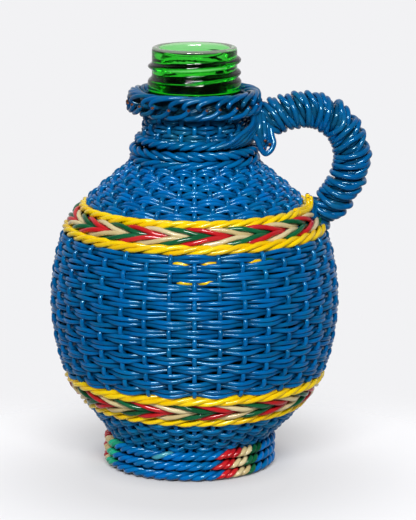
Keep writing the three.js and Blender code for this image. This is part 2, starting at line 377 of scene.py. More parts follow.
# Highlights on the blue wires take a little of the daylight's colour
SKY = "#BCE8F8"
WIRE_FINISHES = {
    Shade.BLUE: CoatedWire("pvc_wire_blue", "#0065AA", "#00548E", "#05263A", "#046E96", gloss_tint=SKY),
    Shade.WORN: CoatedWire(
        "pvc_wire_blue_worn", "#005C9C", "#00497A", "#0A2E3C", "#1F6C80", 0.5, 0.1, gloss_tint=SKY
    ),
    # A darker, more teal copy of the blue wire for the down-facing lower weave: painted shade
    Shade.AGED: CoatedWire(
        "pvc_wire_blue_painted_shade", "#0069A6", "#005686", "#062838", "#08708C", 0.45, 0.13, gloss_tint=SKY
    ),
    # A lighter copy of the blue wire for the shoulder and the foot: painted light
    Shade.FRESH: CoatedWire(
        "pvc_wire_blue_painted_light", "#006DBC", "#005C9E", "#062C44", "#0476A4", gloss_tint=SKY
    ),
    Shade.PALE: CoatedWire("pvc_wire_pale_blue", "#469FB2", "#358AA0", "#1E5560", "#6FB6C0"),
    Shade.YELLOW: CoatedWire("pvc_wire_yellow", "#FBD703", "#F0C200", "#A8800C", "#F8D93A", 0.3),
    Shade.RED: CoatedWire("pvc_wire_red", "#C91C24", "#AC1219", "#5E1414", "#BE3A3C"),
    Shade.CREAM: CoatedWire("pvc_wire_cream", "#DCCB9B", "#C8B27A", "#86724A", "#D3C6A2"),
    Shade.GREEN: CoatedWire("pvc_wire_green", "#0B6038", "#074A29", "#0F3322", "#2A7350"),
    Shade.TEAL: CoatedWire("pvc_wire_teal", "#1FB489", "#159870", "#14604A", "#54BFA0"),
    Shade.COPPER: CutCopper(),
}


# Wires as meshes


@dataclass
class Strands:
    """A batch of wires with equally many points, each a round section carried along its path.

    Sizes are in millimetres. The section at a path point is path + radius (cos a n + sin a b), where t is the
    unit tangent, n is the outward direction made square to t, b = t x n, and a runs once round the wire.
    """

    path: np.ndarray
    outward: np.ndarray
    # Depth below the cover's outer face, which the wire finishes darken with dust and painted shade
    sunk: float | np.ndarray
    radius: float | np.ndarray = WIRE / 2
    closed: bool = False
    shade: np.ndarray | int = Shade.BLUE

    def rings(self, sides: int) -> tuple[np.ndarray, np.ndarray]:
        """Carries the round section along every path.

        Args:
            sides: Points round the wire.

        Returns:
            Points as strand, step, side, xyz, and their depth below the outer face as strand, step, side.
        """
        if self.closed:
            run = np.roll(self.path, -1, 1) - np.roll(self.path, 1, 1)
        else:
            run = np.gradient(self.path, axis=1)
        tangent = unit(run)
        out = unit(self.outward - dot(self.outward, tangent) * tangent)
        side = np.cross(tangent, out)
        turn = np.arange(sides) / sides * tau
        width = np.broadcast_to(self.radius, self.path.shape[:2])[..., None]
        reach = np.cos(turn) * width
        across = np.sin(turn) * width
        points = self.path[:, :, None] + reach[..., None] * out[:, :, None]
        points = points + across[..., None] * side[:, :, None]
        return points, np.broadcast_to(self.sunk, self.path.shape[:2])[..., None] - reach

    def lengths(self) -> np.ndarray:
        """Measures every strand.

        Returns:
            The length run at each step as strand, step, with one step more on a closed strand.
        """
        path = np.concatenate([self.path, self.path[:, :1]], 1) if self.closed else self.path
        steps = np.linalg.norm(np.diff(path, axis=1), axis=-1)
        return np.concatenate([np.zeros((len(path), 1)), np.cumsum(steps, 1)], 1)


def unit(vectors: np.ndarray) -> np.ndarray:
    """Returns vectors scaled to length one along the last axis."""
    return vectors / np.maximum(np.linalg.norm(vectors, axis=-1, keepdims=True), 1e-9)


def dot(a: np.ndarray, b: np.ndarray) -> np.ndarray:
    """Returns the scalar products along the last axis, which is kept."""
    return np.sum(a * b, axis=-1, keepdims=True)


def fill_mesh(mesh: bpy.types.Mesh, points: np.ndarray, corners: np.ndarray, sizes: np.ndarray) -> None:
    """Puts points and polygons into an empty mesh.

    Args:
        mesh: Mesh to fill.
        points: Point places in millimetres, one row each.
        corners: Point numbers of all the polygons, one polygon after another.
        sizes: Corners of each polygon.
    """
    mesh.vertices.add(len(points))
    mesh.vertices.foreach_set("co", (points * MM).astype(np.float32).ravel())
    mesh.loops.add(len(corners))
    mesh.loops.foreach_set("vertex_index", corners.astype(np.int32))
    mesh.polygons.add(len(sizes))
    mesh.polygons.foreach_set("loop_start", (np.cumsum(sizes) - sizes).astype(np.int32))


def wire_piece(name: str, batches: list[Strands], sides: int = ROW_SIDES) -> bpy.types.Object:
    """Makes one piece from batches of wires.

    Each wire is a grid of steps by sides. A closed wire joins its last step to its first, and an open one
    has a flat cap at both ends. The piece carries the length and the girth as its UV map in millimetres, the
    depth below the cover's outer face as "sunk", and a seeded number for each wire as "strand".

    Args:
        name: Name of the piece.
        batches: Wires of the piece.
        sides: Points round each wire.

    Returns:
        The new object, linked to the scene.
    """
    random = np.random.default_rng(SEED + sum(map(ord, name)))
    points, sunk, strand, corners, sizes, shades, flat, uv = [], [], [], [], [], [], [], []
    first = 0
    for batch in batches:
        rings, depth = batch.rings(sides)
        count, steps = rings.shape[:2]
        spans = steps if batch.closed else steps - 1
        number = first + np.arange(count * steps * sides).reshape(count, steps, sides)
        step, side = np.arange(spans), np.arange(sides)
        ahead, beside = (step + 1) % steps, (side + 1) % sides
        quads = np.stack(
            [
                number[:, step][:, :, side],
                number[:, step][:, :, beside],
                number[:, ahead][:, :, beside],
                number[:, ahead][:, :, side],
            ],
            -1,
        )
        run = batch.lengths()
        girth = np.arange(sides + 1) / sides * tau * WIRE / 2
        u0, u1 = run[:, :spans, None], run[:, 1 : spans + 1, None]
        v0, v1 = girth[:-1], girth[1:]
        length = np.stack(np.broadcast_arrays(u0, u0, u1, u1), -1)
        around = np.stack(np.broadcast_arrays(v0, v1, v1, v0), -1)
        length, around = np.broadcast_arrays(length, around)
        shade = np.broadcast_to(batch.shade, (count,))
        points.append(rings.reshape(-1, 3))
        sunk.append(depth.ravel())
        strand.append(np.repeat(random.random(count), steps * sides))
        corners.append(quads.ravel())
        uv.append(np.stack([length.ravel(), around.ravel()], -1))
        sizes.append(np.full(count * spans * sides, 4))
        shades.append(np.repeat(shade, spans * sides))
        flat.append(np.zeros(count * spans * sides, bool))
        if not batch.closed:
            caps = np.stack([number[:, 0, ::-1], number[:, -1]], 1)
            corners.append(caps.ravel())
            uv.append(np.zeros((caps.size, 2)))
            sizes.append(np.full(count * 2, sides))
            shades.append(np.repeat(shade, 2))
            flat.append(np.ones(count * 2, bool))
        first += rings.size // 3
    mesh = bpy.data.meshes.new(name)
    fill_mesh(mesh, np.concatenate(points), np.concatenate(corners), np.concatenate(sizes))
    used, slot_number = np.unique(np.concatenate(shades), return_inverse=True)
    mesh.polygons.foreach_set("material_index", slot_number.astype(np.int32))
    mesh.polygons.foreach_set("use_smooth", ~np.concatenate(flat))
    mesh.uv_layers.new(name="wire").uv.foreach_set("vector", np.concatenate(uv).astype(np.float32).ravel())
    for title, values in (("sunk", sunk), ("strand", strand)):
        attribute = mesh.attributes.new(title, "FLOAT", "POINT")
        attribute.data.foreach_set("value", np.concatenate(values).astype(np.float32))
    for shade in used:
        mesh.materials.append(finish_of(Shade(shade)))
    return link_piece(name, mesh)


def finish_of(shade: Shade) -> bpy.types.Material:
    """Returns the material of a wire finish, made on its first use."""
    finish = WIRE_FINISHES[shade]
    return bpy.data.materials.get(finish.name) or finish.material()


def link_piece(name: str, mesh: bpy.types.Mesh) -> bpy.types.Object:
    """Closes a mesh's data and links it to the scene as an object at the origin.

    Args:
        name: Name of the object.
        mesh: Filled mesh.

    Returns:
        The new object.
    """
    mesh.update(calc_edges=True)
    mesh.validate()
    piece = bpy.data.objects.new(name, mesh)
    bpy.context.scene.collection.objects.link(piece)
    return piece


def settle(piece: bpy.types.Object, slot: Slot, *nodes: str) -> None:
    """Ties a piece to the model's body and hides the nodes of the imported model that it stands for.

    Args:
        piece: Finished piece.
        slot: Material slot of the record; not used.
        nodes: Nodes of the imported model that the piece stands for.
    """
    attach(piece, "root")
    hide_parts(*nodes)
    LOG.info("%s: %d polygons for %s", piece.name, len(piece.data.polygons), ", ".join(nodes))


# Faces that the rows lie on


def through(knots: np.ndarray, steps: int) -> np.ndarray:
    """Carries a smooth curve through knots.

    Each span is a cubic whose end slopes come from the neighbouring knots, spaced by the square roots of
    their distances.

    Args:
        knots: One knot a row.
        steps: Points on the curve.

    Returns:
        The curve's points, one a row.
    """
    mark = np.concatenate([[0], np.cumsum(np.sqrt(np.linalg.norm(np.diff(knots, axis=0), axis=1)))])
    slope = np.gradient(knots, mark, axis=0)
    fine = np.linspace(0, mark[-1], steps)
    i = np.clip(np.searchsorted(mark, fine, "right") - 1, 0, len(mark) - 2)
    width = (mark[i + 1] - mark[i])[:, None]
    x = (fine - mark[i])[:, None] / width
    rise = 3 * x**2 - 2 * x**3
    bend = (x - 2 * x**2 + x**3) * slope[i] + (x**3 - x**2) * slope[i + 1]
    return knots[i] + (knots[i + 1] - knots[i]) * rise + width * bend


def through_each(knots: np.ndarray, steps: int) -> np.ndarray:
    """Carries a smooth curve through the knots of every wire, with the knots spaced alike on all of them.

    Args:
        knots: Places as wire, knot, xyz.
        steps: Points on each curve.

    Returns:
        The curves' points as wire, step, xyz.
    """
    wires, count = knots.shape[:2]
    curves = through(knots.transpose(1, 0, 2).reshape(count, -1), steps)
    return curves.reshape(steps, wires, 3).transpose(1, 0, 2)


def lean(height: np.ndarray) -> np.ndarray:
    """Returns how far the cover stands towards +X at a height: none at the foot, all of it at the belly."""
    share = np.clip((height - LEAN_FROM) / (LEAN_TO - LEAN_FROM), 0, 1)
    return LEAN_SHIFT * share**2 * (3 - 2 * share)


class Face:
    """An outline of radius against height, turned about the bottle's axis.

    Between its knots the outline is a cubic whose slopes come from the neighbouring knots, spaced by the
    square roots of their distances. A place on the face is (r - sunk nr) cos turn + lean, (r - sunk nr) sin
    turn and z - sunk nz, where r and z are the outline's at that length and n is its outward normal.
    """

    SAMPLES = 1200

    def __init__(self, knots: tuple[tuple[float, float], ...]) -> None:
        """Works out the outline.

        Args:
            knots: Radius and height of each knot, from the bottom up.
        """
        self.line = through(np.array(knots), self.SAMPLES)
        self.length = np.concatenate([[0], np.cumsum(np.linalg.norm(np.diff(self.line, axis=0), axis=1))])
        self.tangent = unit(np.gradient(self.line, axis=0))

    def length_at(self, height: float) -> float:
        """Returns the length along the outline at a height."""
        return float(np.interp(height, self.line[:, 1], self.length))

    def place(self, length: np.ndarray, turn: np.ndarray, sunk: np.ndarray) -> tuple[np.ndarray, np.ndarray]:
        """Finds places on or below the face.

        Args:
            length: Lengths along the outline.
            turn: Angles about the axis.
            sunk: Depths below the face.

        Returns:
            The places and the outward directions there, with xyz as the last axis.
        """
        length, turn, sunk = np.broadcast_arrays(length, turn, sunk)
        line = [np.interp(length, self.length, self.line[:, i]) for i in (0, 1)]
        along = [np.interp(length, self.length, self.tangent[:, i]) for i in (0, 1)]
        radius = line[0] - sunk * along[1]
        height = line[1] + sunk * along[0]
        outward = np.stack([along[1] * np.cos(turn), along[1] * np.sin(turn), -along[0]], -1)
        return np.stack([radius * np.cos(turn) + lean(height), radius * np.sin(turn), height], -1), outward


@dataclass(frozen=True)
class Ring:
    """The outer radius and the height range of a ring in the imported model, in millimetres."""

    radius: float
    bottom: float
    top: float

    @classmethod
    def of(cls, node: str) -> "Ring":
        """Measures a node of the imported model."""
        low, high = (np.array(corner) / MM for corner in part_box(node))
        return cls(float(max((high - low)[:2]) / 2), float(low[2]), float(high[2]))

    @property
    def middle(self) -> float:
        """Height of the ring's middle."""
        return (self.bottom + self.top) / 2

    def face(self) -> Face:
        """Upright face at the ring's outer radius, with lengths counted from its own bottom edge."""
        return Face(((self.radius, self.bottom), (self.radius, self.middle), (self.radius, self.top)))


LEAN_SHIFT = 2.0
LEAN_FROM = 8.0
LEAN_TO = 24.0
COVER_STAKES = 36
NECK_STAKES = 24
COVER = Face(
    (
        (31.8, 9.8),
        (34.3, 13.2),
        (45.3, 26.0),
        (54.3, 39.6),
        (59.4, 68.0),
        (54.2, 97.9),
        (45.2, 109.7),
        (27.2, 125.4),
        (24.4, 128.2),
    )
)
NECK = Face(((24.0, 133.0), (22.4, 137.5), (21.5, 141.0), (21.4, 147.0)))


# Woven layers


def flattened(wave: np.ndarray, flatness: float) -> np.ndarray:
    """Returns a wave from -1 to 1 with its crests flattened: tanh(flatness wave) / tanh(flatness)."""
    return np.tanh(flatness * wave) / np.tanh(flatness)


@dataclass
class PlainWeave:
    """Doubled weavers that pass in front of one stake and behind the next.

    A weaver's depth is middle - swing (-1)^course cos(stakes / 2 turn), with the crests flattened, so that it
    closes on itself after one round. Its height wanders by a few seeded waves and its depth by a little of
    them. The two wires of a pair lie a spacing apart, and stay an edge inside the layer's ends.
    """

    name: str
    node: str
    face: Face
    start: float
    end: float
    courses: int
    stakes: int
    wire: float = 1.8
    spacing: float = 1.82
    middle: float = 2.3
    swing: float = 0.9
    stake_push: float = 1.2
    stake_flatness: float = 1.5
    flatness: float = 2.0
    wander: float = 0.26
    depth_wander: float = 0.08
    least_waves: int = 5
    most_waves: int = 21
    opening: float = 0.1
    edge: float = 0.3
    steps_per_stake: int = 8
    shade: Shade = Shade.BLUE

    @classmethod
    def between(cls, node: str, face: Face, bottom: float, top: float, **sizes: object) -> "PlainWeave":
        """Lays out a layer between two heights of a face.

        Args:
            node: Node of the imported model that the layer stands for.
            face: Face that the layer lies on.
            bottom: Height of its lower edge.
            top: Height of its upper edge.
            sizes: The layer's other sizes.

        Returns:
            The layer.
        """
        return cls(f"{node}_wires", node, face, face.length_at(bottom), face.length_at(top), **sizes)

    @property
    def pitch(self) -> float:
        """Length from one course to the next."""
        return (self.end - self.start) / self.courses

    def wires(self) -> Strands:
        """Works out every weaver of the layer.

        Returns:
            One closed wire for each weaver, two a course.
        """
        random = np.random.default_rng(SEED + self.courses)
        steps = self.stakes * self.steps_per_stake
        turn = np.arange(steps) / steps * tau
        course = np.repeat(np.arange(self.courses), 2)[:, None]
        side = np.tile([-0.5, 0.5], self.courses)[:, None]
        swell = np.cos(self.stakes / 2 * turn) * (1 - 2 * (course % 2))
        wave = flattened(swell, self.flatness)
        harmonic = np.arange(self.least_waves, self.most_waves + 1)
        phase = random.random((2 * self.courses, len(harmonic))) * tau
        drift = np.cos(phase[:, :, None] + harmonic[:, None] * turn).sum(1) / np.sqrt(len(harmonic))
        # A pair opens a little where it is in front and closes where the stakes hold it
        apart = self.spacing * (1 + self.opening * wave)
        length = self.start + (course + 0.5) * self.pitch + side * apart + self.wander * drift
        length = np.clip(length, self.start + self.edge, self.end - self.edge)
        sunk = self.middle - self.swing * wave + self.depth_wander * drift
        path, outward = self.face.place(length, turn, sunk)
        return Strands(path, outward, sunk, self.wire / 2, closed=True, shade=self.shade)

    def bulge(self, length: np.ndarray) -> np.ndarray:
        """Works out how far the weavers push an even stake in.

        Args:
            length: Lengths along the face.

        Returns:
            The push at those lengths, none outside the layer.
        """
        inside = (length > self.start) & (length < self.end)
        swell = np.cos(np.pi * ((length - self.start) / self.pitch - 0.5))
        return inside * self.stake_push * flattened(swell, self.stake_flatness)

    def build(self) -> None:
        """Makes the layer's piece and ties it to the model."""
        settle(wire_piece(self.name, [self.wires()], WEAVE_SIDES), Slot.BLUE, self.node)


@dataclass
class StakeCage:
    """Upright wires that start under the bottle, pass through the woven layers and end in the rim.

    A stake's depth is middle + (-1)^stake bulge: it gives way to the weaver in front of it and stands out
    over the one behind it. It runs deeper below the coloured bands, and a running mean softens that change.
    """

    weaves: list[PlainWeave]
    neck_weave: PlainWeave
    wire: float = WIRE
    below_bands: float = 3.6
    step: float = 0.7
    soft_steps: int = 7
    # Heights where the stakes start and end on the cover and on the neck
    cover_span: tuple[float, float] = (11.0, 127.6)
    neck_span: tuple[float, float] = (133.2, 146.8)

    def wires_on(self, face: Face, weaves: list[PlainWeave], span: tuple[float, float]) -> Strands:
        """Works out the stakes on one face.

        Args:
            face: Face that the stakes lie below.
            weaves: Woven layers on that face.
            span: Heights where the stakes start and end.

        Returns:
            One open wire for each stake.
        """
        number = np.arange(weaves[0].stakes)[:, None]
        first, last = (face.length_at(height) for height in span)
        length = np.linspace(first, last, int((last - first) / self.step))
        turn = number / len(number) * tau
        sign = 1 - 2 * (number % 2)
        woven = sum((length > weave.start) & (length < weave.end) for weave in weaves) > 0
        window = np.ones(self.soft_steps) / self.soft_steps
        soft = np.convolve(np.pad(woven.astype(float), self.soft_steps // 2, "edge"), window, "valid")
        middle = self.below_bands + (weaves[0].middle - self.below_bands) * soft
        sunk = middle + sign * sum(weave.bulge(length) for weave in weaves)
        path, outward = face.place(length, turn, sunk)
        return Strands(path, outward, sunk, self.wire / 2)

    def build(self) -> None:
        """Makes the cage's piece and ties it to the model."""
        cover = self.wires_on(COVER, self.weaves, self.cover_span)
        neck = self.wires_on(NECK, [self.neck_weave], self.neck_span)
        settle(wire_piece("stakes", [cover, neck], WEAVE_SIDES), Slot.BLUE, "stake_cage")


# Twisted rows


@dataclass
class TwistedRow:
    """A row of wires worked round one another, seen as slanting strokes.

    Each stroke is one turn of a wire about the row's centre line: with x from -pi to pi its height is
    middle + lay half_height sin x, its depth is sunk - half_depth cos x, and it advances by as many spacings
    as there are strands. Seeded nudges move each stroke a little.
    """

    name: str
    node: str
    slot: Slot
    face: Face
    middle: float
    strokes: int
    lay: Lay
    half_height: float
    half_depth: float
    sunk: float
    shades: np.ndarray | int = Shade.BLUE
    first: float = 0.0
    wire: float = BAND_WIRE
    jitter: float = 0.12
    # Shares of the jitter along the row, up and inwards
    loose: tuple[float, float, float] = (0.25, 0.6, 0.5)
    steps: int = 21
    strands: float = 3.0

    def __post_init__(self) -> None:
        """Spreads the strokes' middles evenly round the row."""
        self.turns = self.first + np.arange(self.strokes) / self.strokes * tau

    def wires(self) -> Strands:
        """Works out every stroke of the row.

        Returns:
            One open wire for each stroke.
        """
        random = np.random.default_rng(SEED + self.strokes + len(self.name))
        x = np.linspace(-np.pi, np.pi, self.steps)
        spacing = np.gradient(self.turns)[:, None]
        nudges = random.normal(0, self.jitter, (3, self.strokes, 1))
        along, up, inward = (share * nudge for share, nudge in zip(self.loose, nudges))
        turn = self.turns[:, None] + spacing * (self.strands * x / tau + along)
        length = self.middle + self.lay * self.half_height * np.sin(x) + up
        sunk = self.sunk - self.half_depth * np.cos(x) + inward
        path, outward = self.face.place(length, turn, sunk)
        return Strands(path, outward, sunk, self.wire / 2, shade=self.shades)

    def build(self) -> None:
        """Makes the row's piece and ties it to the model."""
        settle(wire_piece(self.name, [self.wires()]), self.slot, self.node)


# Glass


@dataclass
class GlassBottle:
    """Moulded bottle with a bead and a screw finish, turned from one closed outline.

    The outline runs from the middle of the underside up the outer wall, over the lip and down the inner wall.
    A running mean along it rounds its corners. On the finish the radius grows by a ridge whose height falls
    off with the distance from a right-hand helix, and that runs out to nothing at both ends.
    """

    # The belly's wall follows the cover between two heights
    wall_bottom: float = 17.0
    wall_top: float = 125.4
    wall_steps: int = 60
    wall_sunk: float = 5.2
    wall: float = 3.2
    pole_radius: float = 0.5
    floor: float = 4.5
    floor_radius: float = 27.0
    shoulder_radius: float = 18.9
    shoulder_top: float = 133.2
    neck_radius: float = 16.1
    neck_bottom: float = 137.4
    bead_radius: float = 18.9
    bead_top: float = 158.7
    bead_height: float = 4.0
    finish_radius: float = 17.2
    finish_slope: float = 1.2
    lip_taper: float = 0.4
    bore_radius: float = 13.3
    bore_bottom: float = 137.0
    # How much wider than the bore the mouth is, at depths below the lip
    mouth: tuple[tuple[float, float], ...] = ((1.6, 0.0), (1.0, 1.6), (0.0, 9.0))
    thread_crest: float = 18.8
    thread_pitch: float = 5.08
    thread_bottom: float = 159.0
    thread_turns: float = 1.8
    thread_half: float = 1.45
    thread_start: float = tau / 2
    thread_fade: float = 7.0
    thread_fullness: float = 0.8
    rounding: float = 0.9
    sample: float = 0.1
    # Points lie closer together on the finish, which shows, than on the covered belly
    shown_above: float = 145.0
    shown_step: float = 0.4
    covered_step: float = 2.0
    columns: int = 180

    def wall_line(self, sunk: float) -> np.ndarray:
        """Works out the belly's wall from the foot to the neck.

        Args:
            sunk: Depth of the wall below the cover.

        Returns:
            Radius and height of its points, one a row.
        """
        first, last = COVER.length_at(self.wall_bottom), COVER.length_at(self.wall_top)
        place, _ = COVER.place(np.linspace(first, last, self.wall_steps), 0.0, sunk)
        return np.stack([place[:, 0] - lean(place[:, 2]), place[:, 2]], -1)

    def outline(self) -> np.ndarray:
        """Works out the closed outline, with its corners rounded.

        Returns:
            Radius and height of its points, one a row.
        """
        lip = Ring.of("glass_bottle").top
        outer = self.wall_line(self.wall_sunk)
        inner = self.wall_line(self.wall_sunk + self.wall)[::-1]
        inner_floor = self.floor + self.wall
        corners = np.concatenate(
            [
                [(self.pole_radius, self.floor), (self.floor_radius, self.floor)],
                outer,
                [
                    (self.shoulder_radius, self.shoulder_top),
                    (self.neck_radius, self.neck_bottom),
                    (self.neck_radius, self.bead_top - 2 * self.bead_height),
                    (self.bead_radius, self.bead_top - self.bead_height),
                    (self.bead_radius, self.bead_top),
                    (self.finish_radius, self.bead_top + self.finish_slope),
                    (self.finish_radius, lip - self.finish_slope),
                    (self.finish_radius - self.lip_taper, lip),
                ],
                [(self.bore_radius + wider, lip - depth) for wider, depth in self.mouth],
                [(self.bore_radius, self.bore_bottom)],
                inner,
                [(self.floor_radius - self.wall, inner_floor), (self.pole_radius, inner_floor)],
            ]
        )
        run = np.concatenate([[0], np.cumsum(np.linalg.norm(np.diff(corners, axis=0), axis=1))])
        fine = np.arange(0, run[-1], self.sample)
        line = np.stack([np.interp(fine, run, corners[:, i]) for i in (0, 1)], -1)
        width = 2 * int(self.rounding / self.sample) + 1
        padded = np.pad(line, ((width // 2, width // 2), (0, 0)), "edge")
        window = np.ones(width) / width
        line = np.stack([np.convolve(padded[:, i], window, "valid") for i in (0, 1)], -1)
        spacing = np.where(line[:, 1] > self.shown_above, self.shown_step, self.covered_step)
        count = np.concatenate([[0], np.cumsum(self.sample / spacing[1:])])
        even = np.linspace(0, count[-1], int(count[-1]))
        return np.stack([np.interp(even, count, line[:, i]) for i in (0, 1)], -1)

    def ridge(self, turn: np.ndarray, height: np.ndarray) -> np.ndarray:
        """Works out how far the thread stands out of the finish.

        Args:
            turn: Angles about the axis.
            height: Heights on the finish.

        Returns:
            The height of the ridge at those angles and heights.
        """
        rise = np.zeros(np.broadcast(turn, height).shape)
        for lap in range(int(self.thread_turns) + 1):
            share = ((turn - self.thread_start) % tau / tau + lap) / self.thread_turns
            middle = self.thread_bottom + share * self.thread_turns * self.thread_pitch
            away = np.clip((height - middle) / self.thread_half, -1, 1)
            fade = np.clip(np.minimum(share, 1 - share) * self.thread_fade, 0, 1)
            rise = np.maximum(rise, fade * np.cos(away * np.pi / 2) ** self.thread_fullness)
        return (self.thread_crest - self.finish_radius) * rise

    def build(self) -> None:
        """Makes the glass piece and ties it to the model."""
        line = self.outline()
        turn = np.arange(self.columns) / self.columns * tau
        radius, height = line[:, 0, None], line[:, 1, None]
        outer = (np.arange(len(line)) < np.argmax(line[:, 1]))[:, None]
        on_finish = outer & (height > self.bead_top) & (height < line[:, 1].max() - self.rounding)
        radius = radius + on_finish * self.ridge(turn, height)
        height = np.broadcast_to(height, radius.shape)
        points = np.stack([radius * np.cos(turn) + lean(height), radius * np.sin(turn), height], -1)
        number = np.arange(points.size // 3).reshape(radius.shape)
        beside = np.roll(number, -1, 1)
        quads = np.stack([number[:-1], beside[:-1], beside[1:], number[1:]], -1).reshape(-1, 4)
        caps = np.stack([number[0, ::-1], number[-1]])
        sizes = np.concatenate([np.full(len(quads), 4), np.full(2, self.columns)])
        mesh = bpy.data.meshes.new("glass")
        fill_mesh(mesh, points.reshape(-1, 3), np.concatenate([quads.ravel(), caps.ravel()]), sizes)
        mesh.polygons.foreach_set("use_smooth", np.ones(len(sizes), bool))
        mesh.materials.append(BottleGlass().material())
        settle(link_piece("glass", mesh), Slot.GLASS, "glass_bottle")


# Coloured bands, foot and neck

# How far the strokes of a row reach past its edges, into the rows above and below
OVERLAP = 0.35


@dataclass
class CoverBand:
    """A coloured band: a yellow row, two three-coloured rows whose strokes meet in chevrons, a yellow row."""

    prefix: str
    bottom: float
    top: float
    # Angle of the first three-coloured stroke
    first: float
    # Shares of the band's width where its rows meet
    edges: tuple[float, ...] = (0.0, 0.255, 0.52, 0.785, 1.0)
    rope_strokes: int = 39
    top_rope_first: float = 0.03
    trios: int = 12
    half_depth: float = 1.25
    sunk: float = 1.95
    strands: float = 3.3

    def build(self) -> None:
        """Makes the four rows from the bottom up and ties them to the model."""
        start, end = COVER.length_at(self.bottom), COVER.length_at(self.top)
        trio = np.tile([Shade.GREEN, Shade.RED, Shade.CREAM], self.trios)
        rope = (Slot.YELLOW, self.rope_strokes, Shade.YELLOW)
        chevron = (Slot.TRICOLOUR, len(trio), trio)
        rows = (
            ("bottom_rope", Lay.RISING, 0.0, *rope),
            ("bottom_chevron_row", Lay.RISING, self.first, *chevron),
            ("top_chevron_row", Lay.FALLING, self.first, *chevron),
            ("top_rope", Lay.RISING, self.top_rope_first, *rope),
        )
        for (row, lay, first, slot, strokes, shades), low, high in zip(rows, self.edges, self.edges[1:]):
            TwistedRow(
                name=f"{self.prefix}_{row}_wires",
                node=f"{self.prefix}_{row}",
                slot=slot,
                face=COVER,
                middle=start + (end - start) * (low + high) / 2,
                strokes=strokes,
                lay=lay,
                half_height=((end - start) * (high - low) - BAND_WIRE) / 2 + OVERLAP,
                half_depth=self.half_depth,
                sunk=self.sunk,
                shades=shades,
                first=first,
                strands=self.strands,
            ).build()


def level_row(node: str, strokes: int, lay: Lay) -> TwistedRow:
    """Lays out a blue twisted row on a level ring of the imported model.

    Args:
        node: The ring's node.
        strokes: Strokes in one round.
        lay: Which way the strokes lean.

    Returns:
        The row.
    """
    ring = Ring.of(node)
    height = ring.top - ring.bottom
    return TwistedRow(
        name=f"{node}_wires",
        node=node,
        slot=Slot.BLUE,
        face=ring.face(),
        middle=height / 2,
        strokes=strokes,
        lay=lay,
        half_height=(height - BAND_WIRE) / 2 + OVERLAP,
        half_depth=1.5,
        sunk=2.5,
    )


@dataclass
class Foot:
    """Three twisted rows that the bottle stands on, blue with groups of red, cream and green strokes.

    Each group starts at its own angle from the front, and the green of the first is a brighter, bluer wire.
    """

    strokes: tuple[int, int, int] = (48, 51, 57)
    # Degrees from the front where the groups start, and from there to where each colour ends
    groups: tuple[float, ...] = (-99.0, 20.0, 110.0, 188.0)
    red_end: float = 13.0
    cream_end: float = 24.0
    green_end: float = 34.0
    # Degrees that each row's groups are stepped on from the row below
    step: float = 1.6
    # How much closer together the strokes of a group lie
    closeness: float = 0.5
    # Degrees from the front to the pale stroke in the top row
    odd_stroke: float = -23.5
    # How much lower than on other rows the strokes are, and how far they are lifted off the floor
    tuck: float = 0.3
    lift: float = 0.25
    samples: int = 1441

    def into_group(self, turns: np.ndarray, start: float, row: int) -> np.ndarray:
        """Returns how many degrees angles lie past the start of a group in a row."""
        return (np.degrees(turns - FRONT) - start - self.step * (row - 1)) % 360

    def turns(self, strokes: int, row: int) -> np.ndarray:
        """Spreads a row's strokes round the foot, closer together in the coloured groups.

        Args:
            strokes: Number of strokes.
            row: Number of the row from the bottom.

        Returns:
            Angles of the strokes.
        """
        grid = np.linspace(0, tau, self.samples)
        inside = sum(self.into_group(grid, start, row) < self.green_end for start in self.groups)
        count = np.cumsum(1 + self.closeness * inside)
        count = (count - count[0]) / (count[-1] - count[0]) * strokes
        return np.interp(np.arange(strokes), count, grid)

    def shades(self, turns: np.ndarray, row: int) -> np.ndarray:
        """Picks the finish of each stroke.

        Args:
            turns: Angles of the strokes.
            row: Number of the row from the bottom, which sets how far its groups are stepped on.

        Returns:
            Finish numbers.
        """
        # Blue strokes take the lighter copy of the blue wire: painted light
        shade = np.full(len(turns), Shade.FRESH)
        for start in self.groups:
            place = self.into_group(turns, start, row)
            green = Shade.TEAL if start == self.groups[0] else Shade.GREEN
            shade[place < self.green_end] = green
            shade[place < self.cream_end] = Shade.CREAM
            shade[place < self.red_end] = Shade.RED
        if row == len(self.strokes) - 1:
            shade[np.cos(turns - FRONT - radians(self.odd_stroke)).argmax()] = Shade.PALE
        return shade

    def build(self) -> None:
        """Makes the three rows and ties them to the model."""
        for i, (place, strokes) in enumerate(zip(("bottom", "middle", "top"), self.strokes)):
            row = level_row(f"foot_rope_{place}", strokes, Lay.RISING)
            row.turns = self.turns(strokes, i)
            row.shades = self.shades(row.turns, i)
            row.half_height -= self.tuck
            row.middle += self.lift
            row.build()


@dataclass
class TuckedEnds:
    """Ends of the coloured wires that run on behind the body's top courses and show in the gaps there.

    Each shows over a short length: its depth is shallow + dive x^4, with x from -1 to 1 along it.
    """

    weave: PlainWeave
    # Courses below the band, turn from the front and finish of each place where a wire shows
    places: tuple[tuple[int, float, Shade], ...] = (
        (1, -0.1, Shade.YELLOW),
        (1, 0.11, Shade.YELLOW),
        (1, 0.46, Shade.YELLOW),
        (3, -0.06, Shade.YELLOW),
        (3, 0.08, Shade.YELLOW),
        (1, 0.58, Shade.GREEN),
    )
    half_turn: float = 0.06
    shallow: float = 2.3
    dive: float = 2.0
    steps: int = 17

    def build(self) -> None:
        """Makes the ends' piece and ties it to the model."""
        x = np.linspace(-1, 1, self.steps)
        course, turn, shade = (np.array(column) for column in zip(*self.places))
        length = self.weave.end - course[:, None] * self.weave.pitch
        sunk = np.tile(self.shallow + self.dive * x**4, (len(course), 1))
        path, outward = COVER.place(length, FRONT + turn[:, None] + self.half_turn * x, sunk)
        piece = wire_piece("tucked_ends", [Strands(path, outward, sunk, shade=shade)])
        settle(piece, Slot.YELLOW, "upper_band_bottom_rope")


# Rim, handle and base


# Bare copper out of a wire's end: shares of its length, and its width there
STUB_REACH = np.array([-0.3, 0.0, 0.6, 1.0])
STUB_WIDTH = np.array([1.0, 1.0, 0.95, 0.7])


